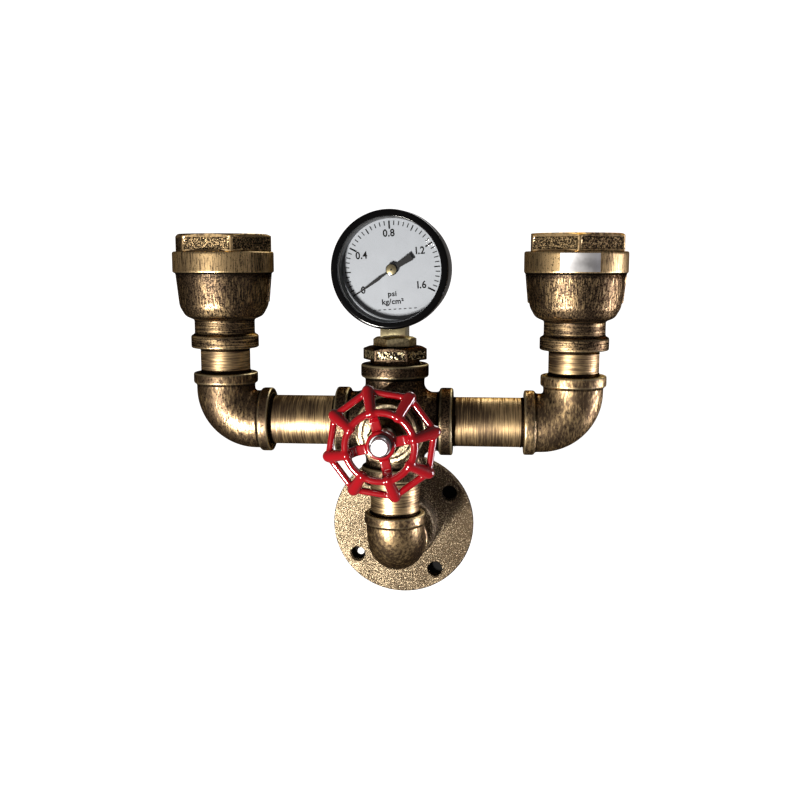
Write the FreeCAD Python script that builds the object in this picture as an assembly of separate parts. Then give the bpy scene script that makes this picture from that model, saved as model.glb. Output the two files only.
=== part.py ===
import FreeCAD, Part
import math
import os

# Two-light wall lamp made of malleable-iron pipe fittings, with a dial gauge and a valve handwheel.
# Millimetres, +X right, +Y into the wall, +Z up.
# Origin: the centre of the wall flange's back face, which lies on the wall.

# ---------------------------------------------------------------- driving dimensions
# 3/4 inch pipe and the threads of its fittings
PIPE_R = 13.35
PIPE_WALL = 2.85
THREAD_GAP = 0.1
THREAD_HOLD = 12.5
MOUTH_GAP = 1.0
MOUTH_DEPTH = 2.6
PORT_STOP = 1.2
SEAT_GAP = 0.3

# overall layout
REACH = 58.0
RISE = 72.0
LEFT_ARM = 93.2
RIGHT_ARM = 95.4

# wall flange
FLANGE_THICK = 5.5
FLANGE_HUB_R = 19.5
FLANGE_HUB_HIGH = 16.0
FLANGE_PCD = 68.0
FLANGE_HOLES = 4
FLANGE_HOLE_R = 4.5
FLANGE_MARGIN = 4.0
FLANGE_HOLE_CHAMFER = 0.4
FLANGE_HOLE_TURN = 35.0
FLANGE_R = FLANGE_PCD / 2 + FLANGE_HOLE_R + FLANGE_MARGIN
FLANGE_EDGE = 1.2
NIPPLE_SETBACK = 4.0

# 90 degree elbows
ELBOW_LEG = 26.0
LOWER_ELBOW_TOP_LEG = 21.0
LOWER_ELBOW_TOP_HOLD = 9.5
ELBOW_BEND = 17.0
ELBOW_BODY_R = 15.8
ELBOW_BEAD_R = 17.4
LOWER_ELBOW_BEAD_R = 16.8
ELBOW_BEAD_W = 5.6

# five-way cross
CROSS_LEG = 31.5
CROSS_BODY_R = 16.0
CROSS_BEAD_R = 18.3
CROSS_BEAD_W = 7.0
CROSS_BLEND = 5.0

# bell reducers that carry the lampholders, heights above their foot
CUP_NIPPLE_SHOW = 13.5
CUP_HIGH = 51.7
CUP_FOOT_BEAD_R = 18.2
CUP_FOOT_BEAD_W = 6.7
CUP_NECK_R = 16.2
CUP_NECK_Z = 15.2
CUP_SHOULDER_R = 20.8
CUP_SHOULDER_Z = 17.2
CUP_BELLY_R = 23.8
CUP_BELLY_Z = 22.5
CUP_BOWL_R = 25.6
CUP_BEAD_R = 27.1
CUP_BEAD_W = 11.0
CUP_THREAD_R = 23.9
CUP_THREAD_DEEP = 16.5
CUP_WALL = 3.0
CUP_RIB_OUT = 0.9
CUP_RIB_W = 3.0
CUP_RIB_HIGH = 16.0

# hex bushings in the reducers
BUSHING_AF = 47.4
BUSHING_HEAD = 9.2
BUSHING_HOLD = 15.0
LEFT_BUSHING_TURN = -6.0
RIGHT_BUSHING_TURN = 28.0
BUSHING_CORNER_R = 27.1

# E27 lampholders, depths below the top of the hex bushing
HOLDER_R = 20.0
HOLDER_GAP = 0.2
HOLDER_COLLAR_R = 21.6
HOLDER_COLLAR = 3.0
SHELL_R = 13.3
SHELL_WALL = 0.45
SHELL_LENGTH = 17.5
SHELL_DROP = 1.6
SHELL_LEDGE = 1.4
WELL_GAP = 0.1
WELL_DEEP = 22.0
BOSS_R = 9.3
BOSS_HIGH = 10.0
CONTACT_HEAD_R = 3.3
CONTACT_HEAD = 4.4
CONTACT_PROUD = 2.4
CONTACT_STEM_R = 1.3
CONTACT_GAP = 0.08
SPRING_CHAMBER = 8.5
SPRING_WIRE_R = 0.3
SPRING_TURNS = 4
SPRING_STEPS = 12
CLAMP_THICK = 1.5
CLAMP_EDGE_GAP = 1.4
HOLDER_SCREW_R = 1.5
HOLDER_SCREW_HEAD_R = 2.4
HOLDER_SCREW_HEAD = 1.6
HOLDER_SCREW_SINK = 0.6
HOLDER_SCREW_OUT = 16.9
TERMINAL_SIZE = 4.6
TERMINAL_HIGH = 7.0
TERMINAL_SCREW_R = 1.0
LEAD_R = 1.1
LEAD_SPREAD = 4.0
LEAD_BEND = 14.0
LEAD_INSERT = 4.0
LEAD_SETBACK = 6.0

# hex bushings, adapter and square socket that carry the gauge
PLUG_AF = 30.0
PLUG_HEAD = 6.9
PLUG_SHOW = 2.2
PLUG_HOLD = 11.0
PLUG_TURN = -3.0
TAP_R = 6.6
ADAPTER_AF = 20.5
ADAPTER_HEAD = 4.6
ADAPTER_SHOW = 0.5
ADAPTER_HOLD = 9.0
ADAPTER_TURN = 14.0
SOCKET_SQUARE = 13.5
SOCKET_SHANK_R = 4.86
SOCKET_SHANK = 8.0
SOCKET_SHOW = 6.0
SOCKET_BLOCK_HALF_W = 6.0
SOCKET_BLOCK_TOP = -13.0
GAUGE_TURN = -5.0

# gauge case, depths along Y from the plane of the stem
CASE_R = 30.0
CASE_WALL = 0.9
CASE_BACK = 8.5
CASE_RIM = -13.5
BEZEL_GAP = 0.1
BEZEL_WALL = 0.9
BEZEL_LIP = 3.0
BEZEL_R = CASE_R + BEZEL_GAP + BEZEL_WALL
BEZEL_OPEN_R = CASE_R - BEZEL_LIP
BEZEL_FRONT = 1.7
BEZEL_SKIRT = 5.0
WINDOW_THICK = 2.0
GASKET_THICK = 0.8
DIAL_FRONT = -8.0
DIAL_THICK = 0.8
DIAL_BORDER = 4.0
DIAL_VIEW_R = CASE_R - DIAL_BORDER
DIAL_HOLE_R = 1.5

# gauge movement
GEAR_MODULE = 0.3
PINION_TEETH = 12
SECTOR_TEETH = 96
SECTOR_CUT_TEETH = 12
SECTOR_SWEEP = 30.0
TOOTH_SHARE = 0.42
TOOTH_SLOPE = 20.0
GEAR_THICK = 1.0
PINION_LONG = 2.2
SHEET = 0.8
SHEET_HALF_W = 7.0
SHEET_TOP = 8.0
SHEET_FOOT = -24.0
SHEETS_APART = 4.0
BLOCK_FRONT = -0.6
PILLAR_R = 1.2
PILLAR_X = 5.2
PILLAR_Z = 6.2
ARBOR_R = 0.75
PIVOT_GAP = 0.05
POINTER_TIP = DIAL_VIEW_R - 1.4
POINTER_TAIL = 14.2
POINTER_WAIST = 6.0
POINTER_SHOULDER = 9.0
POINTER_REST = 215.0
POINTER_HUB_R = 3.1
POINTER_HUB = 1.2
POINTER_THICK = 0.5
POINTER_LIFT = 1.6
TUBE_SETBACK = 8.0
TUBE_MID_R = CASE_R - TUBE_SETBACK
TUBE_WIDE = 3.2
TUBE_DEEP = 6.4
TUBE_MID_Y = 2.8
TUBE_START = 262.0
TUBE_END = -15.0
TUBE_ROOT_SWEEP = 20.0
TAIL_LENGTH = 7.0
TAIL_REST = -20.0
LINK_THICK = 0.6
LINK_R = 1.3
PIN_R = 0.6

# handwheel on the front port, distances in front of the arm axis
WHEEL_RIM = 69.0
WHEEL_TIP_R = 28.9
WHEEL_RIBS = 8
WHEEL_RIB_R = 2.8
WHEEL_BAR_R = 1.8
WHEEL_RING_R = 16.4
WHEEL_RING_RISE = 7.8
WHEEL_SPOKE_THICK = 3.0
WHEEL_PAD_R = 11.8
WHEEL_PAD_RISE = 4.2
WHEEL_SPOKES = 4
WHEEL_SPOKE_W = 5.0
WHEEL_HUB_R = 7.2
WHEEL_HUB_FRONT = 5.5
WHEEL_HUB_BACK = -3.0
WHEEL_RECESS_R = 5.6
WHEEL_RECESS = 2.0
WHEEL_TURN = 14.0
BOLT_R = 3.0
BOLT_HEAD_AF = 9.0
BOLT_HEAD_R = 4.65
BOLT_HEAD = 4.2
BOLT_HOLD = 12.0
BOLT_GAP = 0.08
SPINDLE_R = 5.0
SPINDLE_NUT_AF = 17.0
SPINDLE_NUT = 6.0
WASHER_R = 5.2
WASHER_THICK = 1.2
SPRING_WASHER_R = 4.7
SPRING_WASHER_THICK = 1.6
END_PLAY = 0.15

# ---------------------------------------------------------------- derived places
PIPE_BORE_R = PIPE_R - PIPE_WALL
PORT_R = PIPE_R + THREAD_GAP
MOUTH_R = PIPE_R + MOUTH_GAP
X_AXIS = FreeCAD.Vector(1, 0, 0)
Y_AXIS = FreeCAD.Vector(0, 1, 0)
Z_AXIS = FreeCAD.Vector(0, 0, 1)
ORIGIN = FreeCAD.Vector(0, 0, 0)
CROSS = FreeCAD.Vector(0, -REACH, RISE)


def vec(x, y, z):
    return FreeCAD.Vector(x, y, z)


def save(name, *shapes):
    """Write one sub-part; several shapes stay separate solids in one file."""
    shape = shapes[0] if len(shapes) == 1 else Part.makeCompound(list(shapes))
    for solid in shape.Solids:
        if not solid.isValid():
            print("not valid:", name)
    print("%-22s solids %d volume %9.1f" % (name, len(shape.Solids), shape.Volume))
    shape.exportStep(os.path.join("parts", name + ".step"))


# ---------------------------------------------------------------- shape helpers
def rounded_wire(corners):
    """Closed wire in the XZ plane from (x, z) or (x, z, radius) corners."""
    count = len(corners)
    cuts = []
    for i in range(count):
        here = vec(corners[i][0], 0, corners[i][1])
        if len(corners[i]) == 2:
            cuts.append((here, here, here))
            continue
        radius = corners[i][2]
        back = vec(corners[i - 1][0], 0, corners[i - 1][1]) - here
        ahead = vec(corners[(i + 1) % count][0], 0, corners[(i + 1) % count][1]) - here
        half = back.getAngle(ahead) / 2
        back.normalize()
        ahead.normalize()
        middle = back + ahead
        middle.normalize()
        reach = radius / math.tan(half)
        sag = radius / math.sin(half) - radius
        cuts.append((here + back * reach, here + middle * sag, here + ahead * reach))
    edges = []
    for i in range(count):
        first, middle, last = cuts[i]
        following = cuts[(i + 1) % count][0]
        if (last - first).Length > 1e-6:
            edges.append(Part.Arc(first, middle, last).toShape())
        if (following - last).Length > 1e-6:
            edges.append(Part.LineSegment(last, following).toShape())
    return Part.Wire(edges)


def lathe(corners):
    """Solid turned about Z from an outline of (radius, height) corners."""
    return Part.Face(rounded_wire(corners)).revolve(ORIGIN, Z_AXIS, 360)


def rod(radius, low, high):
    return Part.makeCylinder(radius, high - low, vec(0, 0, low))


def pipe(outer, inner, low, high):
    return rod(outer, low, high).cut(rod(inner, low - 1, high + 1))


def hexagon(across_flats, low, high, chamfer, corner_limit=0):
    """Hexagonal head about Z, one flat facing -Y, with its corners turned off at the top."""
    corner_r = across_flats / math.sqrt(3)
    points = []
    for i in range(7):
        angle = math.radians(60 * i)
        points.append(vec(corner_r * math.cos(angle), corner_r * math.sin(angle), low))
    head = Part.Face(Part.makePolygon(points)).extrude(vec(0, 0, high - low))
    outer_r = min(corner_r, corner_limit) if corner_limit else corner_r
    turned = lathe([(0, low), (outer_r, low), (outer_r, high - chamfer), (across_flats / 2 - 0.2, high),
                    (0, high)])
    return head.common(turned)


def aim(shape, direction):
    """Turn a shape made along +Z so that it points along direction."""
    turned = shape.copy()
    turned.Placement = FreeCAD.Placement(ORIGIN, FreeCAD.Rotation(Z_AXIS, direction))
    return turned


def spin(shape, degrees, point=ORIGIN, axis=Z_AXIS):
    turned = shape.copy()
    turned.rotate(point, axis, degrees)
    return turned


def moved(shape, offset):
    shifted = shape.copy()
    shifted.translate(offset)
    return shifted


def fused(shapes):
    return shapes[0].multiFuse(shapes[1:]).removeSplitter()


def box(low, high):
    size = high - low
    return Part.makeBox(size.x, size.y, size.z, low)


# ---------------------------------------------------------------- pipes and fittings
def port_body(leg, start, body_r, bead_r, bead_w):
    """One port of a casting along +Z: plain barrel, then the beaded end."""
    bead_low = leg - bead_w
    return lathe([(0, start), (body_r, start), (body_r, bead_low - 0.6, 1.0), (bead_r, bead_low, 1.2),
                  (bead_r, leg, 0.8), (0, leg)])


def bead(leg, bead_r, bead_w):
    """Beaded end alone, for a port too short for a barrel."""
    return lathe([(0, leg - bead_w), (bead_r, leg - bead_w, 0.8), (bead_r, leg, 0.8), (0, leg)])


def port_bore(leg, hold):
    """Threaded length of a port along +Z and its wider mouth."""
    return lathe([(0, leg - hold - PORT_STOP), (PORT_R, leg - hold - PORT_STOP),
                  (PORT_R, leg - MOUTH_DEPTH), (MOUTH_R, leg - MOUTH_DEPTH / 2), (MOUTH_R, leg + 1),
                  (0, leg + 1)])


def bend(radius, tube_r):
    """Quarter torus from the +Z leg to the +X leg, both legs ending at radius."""
    circle = Part.Face(Part.Wire(Part.Circle(vec(0, 0, radius), Z_AXIS, tube_r).toShape()))
    return circle.revolve(vec(radius, 0, radius), vec(0, -1, 0), 90)


def elbow(top, top_leg, top_hold, bead_r):
    """Elbow with one port up and one along +X."""
    side = port_body(ELBOW_LEG, ELBOW_BEND, ELBOW_BODY_R, bead_r, ELBOW_BEAD_W)
    body = fused([bend(ELBOW_BEND, ELBOW_BODY_R), top, aim(side, X_AXIS)])
    hollow = fused([bend(ELBOW_BEND, PIPE_BORE_R), port_bore(top_leg, top_hold),
                    aim(port_bore(ELBOW_LEG, THREAD_HOLD), X_AXIS)])
    return body.cut(hollow)


def upper_elbow():
    top = port_body(ELBOW_LEG, ELBOW_BEND, ELBOW_BODY_R, ELBOW_BEAD_R, ELBOW_BEAD_W)
    return elbow(top, ELBOW_LEG, THREAD_HOLD, ELBOW_BEAD_R)


def lower_elbow():
    top = bead(LOWER_ELBOW_TOP_LEG, LOWER_ELBOW_BEAD_R, ELBOW_BEAD_W)
    return elbow(top, LOWER_ELBOW_TOP_LEG, LOWER_ELBOW_TOP_HOLD, LOWER_ELBOW_BEAD_R)


def cross():
    """Side-outlet cross: ports along +X, -X, +Z, -Z and -Y, closed at the back."""
    directions = [X_AXIS, -X_AXIS, Z_AXIS, -Z_AXIS, -Y_AXIS]
    port = port_body(CROSS_LEG, 0, CROSS_BODY_R, CROSS_BEAD_R, CROSS_BEAD_W)
    body = fused([aim(port, way) for way in directions])
    blend_r = CROSS_BODY_R + CROSS_BLEND
    corner = bend(blend_r, CROSS_BODY_R - 0.05)
    blends = [spin(corner, 90 * i, axis=Y_AXIS) for i in range(4)]
    front = spin(corner, 90, axis=X_AXIS)
    for i in range(4):
        blends.append(spin(front, 90 * i, axis=Y_AXIS))
    body = fused([body] + blends)
    waterway = fused([aim(rod(PIPE_BORE_R, 0, CROSS_LEG), way) for way in directions])
    bores = [aim(port_bore(CROSS_LEG, THREAD_HOLD), way) for way in directions]
    return body.cut(waterway.multiFuse(bores))


def wall_flange():
    """Round plate and hub about +Z, back face at zero."""
    body = lathe([(0, 0), (FLANGE_R, 0, FLANGE_EDGE / 2), (FLANGE_R, FLANGE_THICK, FLANGE_EDGE),
                  (FLANGE_HUB_R + 1.0, FLANGE_THICK, 2.0), (FLANGE_HUB_R, FLANGE_HUB_HIGH, 1.5),
                  (0, FLANGE_HUB_HIGH)])
    tools = [lathe([(0, -1), (PORT_R, -1), (PORT_R, FLANGE_HUB_HIGH - MOUTH_DEPTH),
                    (MOUTH_R, FLANGE_HUB_HIGH - MOUTH_DEPTH / 2), (MOUTH_R, FLANGE_HUB_HIGH + 1),
                    (0, FLANGE_HUB_HIGH + 1)])]
    hole = lathe([(0, -1), (FLANGE_HOLE_R, -1), (FLANGE_HOLE_R, FLANGE_THICK - FLANGE_HOLE_CHAMFER),
                  (FLANGE_HOLE_R + 2 * FLANGE_HOLE_CHAMFER, FLANGE_THICK + FLANGE_HOLE_CHAMFER),
                  (0, FLANGE_THICK + FLANGE_HOLE_CHAMFER)])
    hole = moved(hole, vec(FLANGE_PCD / 2, 0, 0))
    for i in range(FLANGE_HOLES):
        tools.append(spin(hole, FLANGE_HOLE_TURN + 360 * i / FLANGE_HOLES))
    return body.cut(tools[0].multiFuse(tools[1:]))


def cup():
    """Bell reducer about +Z with its foot at zero and two cast ribs."""
    shell = lathe([(0, 0), (CUP_FOOT_BEAD_R, 0, 0.8), (CUP_FOOT_BEAD_R, CUP_FOOT_BEAD_W, 1.2),
                   (CUP_NECK_R, CUP_FOOT_BEAD_W + 0.8, 1.0), (CUP_NECK_R, CUP_NECK_Z, 0.8),
                   (CUP_SHOULDER_R, CUP_SHOULDER_Z, 5.0), (CUP_BELLY_R, CUP_BELLY_Z, 8.0),
                   (CUP_BOWL_R, CUP_HIGH - CUP_BEAD_W - 0.6), (CUP_BEAD_R, CUP_HIGH - CUP_BEAD_W, 0.5),
                   (CUP_BEAD_R, CUP_HIGH, 1.0), (0, CUP_HIGH)])
    rib_low = CUP_HIGH - CUP_BEAD_W - CUP_RIB_HIGH
    rib_high = CUP_HIGH - CUP_BEAD_W + 1
    low_out = CUP_BELLY_R + CUP_RIB_OUT + 0.2
    high_out = CUP_BOWL_R + CUP_RIB_OUT
    edge = [vec(-low_out, -CUP_RIB_W / 2, rib_low), vec(low_out, -CUP_RIB_W / 2, rib_low),
            vec(high_out, -CUP_RIB_W / 2, rib_high), vec(-high_out, -CUP_RIB_W / 2, rib_high)]
    rib = Part.Face(Part.makePolygon(edge + edge[:1])).extrude(vec(0, CUP_RIB_W, 0))
    body = fused([shell, rib])
    low_bore = spin(port_bore(0, THREAD_HOLD), 180, axis=X_AXIS)
    thread_low = CUP_HIGH - CUP_THREAD_DEEP
    inside = lathe([(0, THREAD_HOLD), (PIPE_BORE_R, THREAD_HOLD), (PIPE_BORE_R, CUP_SHOULDER_Z - 1),
                    (CUP_SHOULDER_R - CUP_WALL, CUP_SHOULDER_Z + 1, 2.5),
                    (CUP_BELLY_R - CUP_WALL, CUP_BELLY_Z + 1.5, 4.0),
                    (CUP_THREAD_R - 1.2, thread_low - 0.7), (CUP_THREAD_R, thread_low),
                    (CUP_THREAD_R, CUP_HIGH + 1), (0, CUP_HIGH + 1)])
    return body.cut(fused([low_bore, inside]))


def hex_bushing(turn):
    """Large bushing about +Z: head on the reducer's rim at zero, thread below it."""
    head = hexagon(BUSHING_AF, 0, BUSHING_HEAD, 1.2, BUSHING_CORNER_R)
    thread = lathe([(0, -BUSHING_HOLD), (CUP_THREAD_R - THREAD_GAP, -BUSHING_HOLD, 0.8),
                    (CUP_THREAD_R - THREAD_GAP, 0), (0, 0)])
    bore = rod(HOLDER_R + HOLDER_GAP, -BUSHING_HOLD - 1, BUSHING_HEAD + 1)
    seat = rod(HOLDER_COLLAR_R + HOLDER_GAP, BUSHING_HEAD - HOLDER_COLLAR, BUSHING_HEAD + 1)
    return fused([spin(head, turn), thread]).cut(fused([bore, seat]))


def plug(turn):
    """Small hex bushing about +Z that closes a port of the cross: head from zero up, thread below."""
    head = spin(hexagon(PLUG_AF, 0, PLUG_HEAD, 1.0), turn)
    thread = lathe([(0, -PLUG_HOLD), (PIPE_R, -PLUG_HOLD, 0.8), (PIPE_R, 0), (0, 0)])
    tap = rod(TAP_R + THREAD_GAP, -PLUG_HOLD - 1, PLUG_HEAD + 1)
    return fused([head, thread]).cut(tap)


# ---------------------------------------------------------------- lampholder, heights from its top
def holder_body():
    """Glazed porcelain body: collar, barrel, boss, lamp well, contact guide and screw holes."""
    barrel_low = -(BUSHING_HEAD + BUSHING_HOLD) + SEAT_GAP
    boss_low = barrel_low - BOSS_HIGH
    body = lathe([(0, boss_low), (BOSS_R, boss_low, 0.8), (BOSS_R, barrel_low), (HOLDER_R, barrel_low, 0.8),
                  (HOLDER_R, -HOLDER_COLLAR), (HOLDER_COLLAR_R, -HOLDER_COLLAR), (HOLDER_COLLAR_R, 0, 0.8),
                  (0, 0)])
    shell_low = -SHELL_DROP - SHELL_LENGTH
    well_r = SHELL_R + SHELL_WALL + WELL_GAP
    well = lathe([(0, -WELL_DEEP), (well_r - SHELL_LEDGE, -WELL_DEEP), (well_r - SHELL_LEDGE, shell_low),
                  (well_r, shell_low), (well_r, 1), (0, 1)])
    guide = rod(CONTACT_HEAD_R + CONTACT_GAP, -WELL_DEEP - SPRING_CHAMBER, -WELL_DEEP + 1)
    stem_hole = rod(CONTACT_STEM_R + CONTACT_GAP, boss_low - 1, -WELL_DEEP)
    tools = [well, guide, stem_hole]
    for side in (-1, 1):
        hole = rod(HOLDER_SCREW_R + 0.2, barrel_low - 1, 1)
        sink = rod(HOLDER_SCREW_HEAD_R + 0.2, -HOLDER_SCREW_SINK - HOLDER_SCREW_HEAD, 1)
        tools.append(moved(hole.fuse(sink), vec(0, side * HOLDER_SCREW_OUT, 0)))
    return body.cut(tools[0].multiFuse(tools[1:]))


def screw_shell():
    low = -SHELL_DROP - SHELL_LENGTH
    return pipe(SHELL_R + SHELL_WALL, SHELL_R, low, low + SHELL_LENGTH)


def centre_contact():
    top = -WELL_DEEP + CONTACT_PROUD
    head_low = top - CONTACT_HEAD
    stem_low = -WELL_DEEP - SPRING_CHAMBER - 2.0
    return lathe([(0, stem_low), (CONTACT_STEM_R, stem_low, 0.3), (CONTACT_STEM_R, head_low),
                  (CONTACT_HEAD_R, head_low), (CONTACT_HEAD_R, top, 1.0), (0, top)])


def contact_spring():
    """Coil between the contact's head and the floor of its chamber."""
    low = -WELL_DEEP - SPRING_CHAMBER + SPRING_WIRE_R + 0.02
    high = -WELL_DEEP + CONTACT_PROUD - CONTACT_HEAD - SPRING_WIRE_R - 0.02
    coil_r = (CONTACT_HEAD_R + CONTACT_STEM_R) / 2
    pitch = (high - low) / SPRING_TURNS
    points = []
    for i in range(SPRING_TURNS * SPRING_STEPS + 1):
        angle = 2 * math.pi * i / SPRING_STEPS
        points.append(vec(coil_r * math.cos(angle), coil_r * math.sin(angle), pitch * i / SPRING_STEPS))
    helix = Part.BSplineCurve()
    helix.interpolate(points)
    start_way = vec(0, 2 * math.pi * coil_r, pitch)
    section = Part.Wire(Part.Circle(points[0], start_way, SPRING_WIRE_R).toShape())
    coil = Part.Wire(helix.toShape()).makePipeShell([section], True, True)
    return moved(coil, vec(0, 0, low))


def clamp_plate():
    """Steel disc under the bushing that the two holder screws pull up."""
    high = -(BUSHING_HEAD + BUSHING_HOLD)
    plate = pipe(CUP_THREAD_R - CLAMP_EDGE_GAP, BOSS_R + SEAT_GAP, high - CLAMP_THICK, high)
    for side in (-1, 1):
        hole = rod(HOLDER_SCREW_R + PIVOT_GAP, high - CLAMP_THICK - 1, high + 1)
        plate = plate.cut(moved(hole, vec(0, side * HOLDER_SCREW_OUT, 0)))
    return plate


def holder_screws():
    low = -(BUSHING_HEAD + BUSHING_HOLD) - CLAMP_THICK - 0.5
    head_high = -HOLDER_SCREW_SINK
    head_low = head_high - HOLDER_SCREW_HEAD
    screw = lathe([(0, low), (HOLDER_SCREW_R, low), (HOLDER_SCREW_R, head_low),
                   (HOLDER_SCREW_HEAD_R, head_low), (HOLDER_SCREW_HEAD_R, head_high, 0.6), (0, head_high)])
    slot_end = HOLDER_SCREW_HEAD_R + 1
    slot = box(vec(-slot_end, -0.35, head_high - 0.8), vec(slot_end, 0.35, head_high + 1))
    screw = screw.cut(slot)
    return [moved(screw, vec(0, side * HOLDER_SCREW_OUT, 0)) for side in (-1, 1)]


def terminal_high():
    return -(BUSHING_HEAD + BUSHING_HOLD) + SEAT_GAP - BOSS_HIGH


def terminals(side):
    """Two brass pillar terminals under the boss, each with a hole for its lead."""
    high = terminal_high()
    half = TERMINAL_SIZE / 2
    blocks = []
    for row in (-1, 1):
        place = vec(side * LEAD_SPREAD, row * LEAD_SPREAD, 0)
        block = box(vec(-half, -half, high - TERMINAL_HIGH), vec(half, half, high))
        hole = rod(LEAD_R + 0.1, high - TERMINAL_HIGH - 1, high - TERMINAL_HIGH + LEAD_INSERT + 0.1)
        screw_hole = aim(rod(TERMINAL_SCREW_R, 0, half + 1), vec(0, row, 0))
        screw_hole = moved(screw_hole, vec(0, 0, high - TERMINAL_HIGH + LEAD_INSERT / 2))
        blocks.append(moved(block.cut(hole.fuse(screw_hole)), place))
    return blocks


def terminal_screws(side):
    high = terminal_high()
    half = TERMINAL_SIZE / 2
    screws = []
    for row in (-1, 1):
        shank_in = LEAD_R + 0.15
        head = rod(TERMINAL_SCREW_R + 0.7, half, half + 1.2)
        screw = fused([rod(TERMINAL_SCREW_R - PIVOT_GAP, shank_in, half), head])
        slot = box(vec(-0.25, -3, half + 0.6), vec(0.25, 3, half + 2))
        screw = aim(screw.cut(slot), vec(0, row, 0))
        place = vec(side * LEAD_SPREAD, row * LEAD_SPREAD, high - TERMINAL_HIGH + LEAD_INSERT / 2)
        screws.append(moved(screw, place))
    return screws


def lead(points, radius, bend_r):
    """Round wire along straight runs joined by tangent arcs."""
    pieces = []
    start = points[0]
    for i in range(1, len(points)):
        here = points[i]
        way = here - start
        way.normalize()
        stop = here
        if i + 1 < len(points):
            following = points[i + 1] - here
            following.normalize()
            stop = here - way * bend_r
        pieces.append(Part.makeCylinder(radius, (stop - start).Length, start, way))
        if i + 1 < len(points):
            centre = stop + following * bend_r
            circle = Part.Face(Part.Wire(Part.Circle(stop, way, radius).toShape()))
            pieces.append(circle.revolve(centre, way.cross(following), 90))
            start = here + following * bend_r
    return fused(pieces)


# ---------------------------------------------------------------- gauge about its own centre, facing -Y
def along_y(shape):
    """Turn a shape made along +Z so that it points along -Y, with its +Y side up."""
    return spin(shape, 90, axis=X_AXIS)


def ring_y(outer, inner, front, back):
    """Ring or disc about the Y axis between two depths, front being the lesser."""
    ring = Part.makeCylinder(outer, back - front, vec(0, front, 0), Y_AXIS)
    if inner > 0:
        ring = ring.cut(Part.makeCylinder(inner, back - front + 2, vec(0, front - 1, 0), Y_AXIS))
    return ring


def case_bottom():
    return -SOCKET_SHOW - CASE_R


def gauge_case():
    """Pressed cup, open in front, with a rolled ledge for the dial and a square hole for the socket."""
    inner = CASE_R - CASE_WALL
    front = CASE_RIM
    ledge_y = DIAL_FRONT + DIAL_THICK
    outline = [(0, -CASE_BACK), (CASE_R, -CASE_BACK, 3.0), (CASE_R, -front), (inner, -front),
               (inner, -ledge_y), (inner - 1.2, -ledge_y), (inner - 1.2, -ledge_y - 1.2),
               (inner, -ledge_y - 2.4), (inner, -CASE_BACK + CASE_WALL, 2.1), (0, -CASE_BACK + CASE_WALL)]
    case = along_y(lathe(outline))
    half = SOCKET_SQUARE / 2 + THREAD_GAP
    return case.cut(box(vec(-half, -half, -CASE_R - 5), vec(half, half, -CASE_R / 2)))


def bezel():
    skirt_back = CASE_RIM + BEZEL_SKIRT
    ring_back = CASE_RIM - GASKET_THICK - WINDOW_THICK
    front = ring_back - BEZEL_FRONT
    skirt_r = CASE_R + BEZEL_GAP
    outline = [(skirt_r, -skirt_back), (BEZEL_R, -skirt_back), (BEZEL_R, -front, 1.5),
               (BEZEL_OPEN_R + 0.4, -front, 0.4), (BEZEL_OPEN_R, -ring_back), (skirt_r, -ring_back)]
    return along_y(lathe(outline))


def inner_ring():
    """Conical ring between the dial and the window."""
    inner = CASE_R - CASE_WALL
    low = -DIAL_FRONT + PIVOT_GAP
    outline = [(DIAL_VIEW_R, low), (inner - 0.1, low), (inner - 0.1, -CASE_RIM),
               (BEZEL_OPEN_R, -CASE_RIM), (DIAL_VIEW_R, low + 0.8)]
    return along_y(lathe(outline))


def gauge_socket():
    """Square brass socket: threaded shank below, block with a milled front inside the case."""
    half = SOCKET_SQUARE / 2
    low = case_bottom()
    square = box(vec(-half, -half, low), vec(half, half, -CASE_R + 3))
    shank = rod(SOCKET_SHANK_R, low - SOCKET_SHANK, low)
    block = box(vec(-SOCKET_BLOCK_HALF_W, BLOCK_FRONT, -CASE_R + 3),
                vec(SOCKET_BLOCK_HALF_W, half, SOCKET_BLOCK_TOP))
    body = fused([square, shank, block])
    root = tube_solid(TUBE_START, TUBE_START - TUBE_ROOT_SWEEP, PIVOT_GAP)
    return body.cut(root)


def tube_solid(start, end, grow):
    """Flattened tube bent round the gauge axis from one angle to the other, clockwise."""
    wide = TUBE_WIDE / 2 + grow
    deep = TUBE_DEEP / 2 + grow
    turn = wide * 0.9
    corners = [(TUBE_MID_R - wide, TUBE_MID_Y - deep, turn), (TUBE_MID_R + wide, TUBE_MID_Y - deep, turn),
               (TUBE_MID_R + wide, TUBE_MID_Y + deep, turn), (TUBE_MID_R - wide, TUBE_MID_Y + deep, turn)]
    section = spin(Part.Face(rounded_wire(corners)), -90, axis=X_AXIS)
    section = spin(section, -start, axis=Y_AXIS)
    return section.revolve(ORIGIN, Y_AXIS, start - end)


def at_angle(radius, degrees):
    return vec(radius * math.cos(math.radians(degrees)), 0, radius * math.sin(math.radians(degrees)))


def tube_tip():
    """Block that closes the tube's free end."""
    half_y = TUBE_DEEP / 2 + 0.6
    block = box(vec(TUBE_MID_R - TUBE_WIDE / 2 - 0.8, TUBE_MID_Y - half_y, -2.5),
                vec(TUBE_MID_R + TUBE_WIDE / 2 + 0.8, TUBE_MID_Y + half_y, 0))
    return spin(block, -TUBE_END, axis=Y_AXIS)


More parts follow.
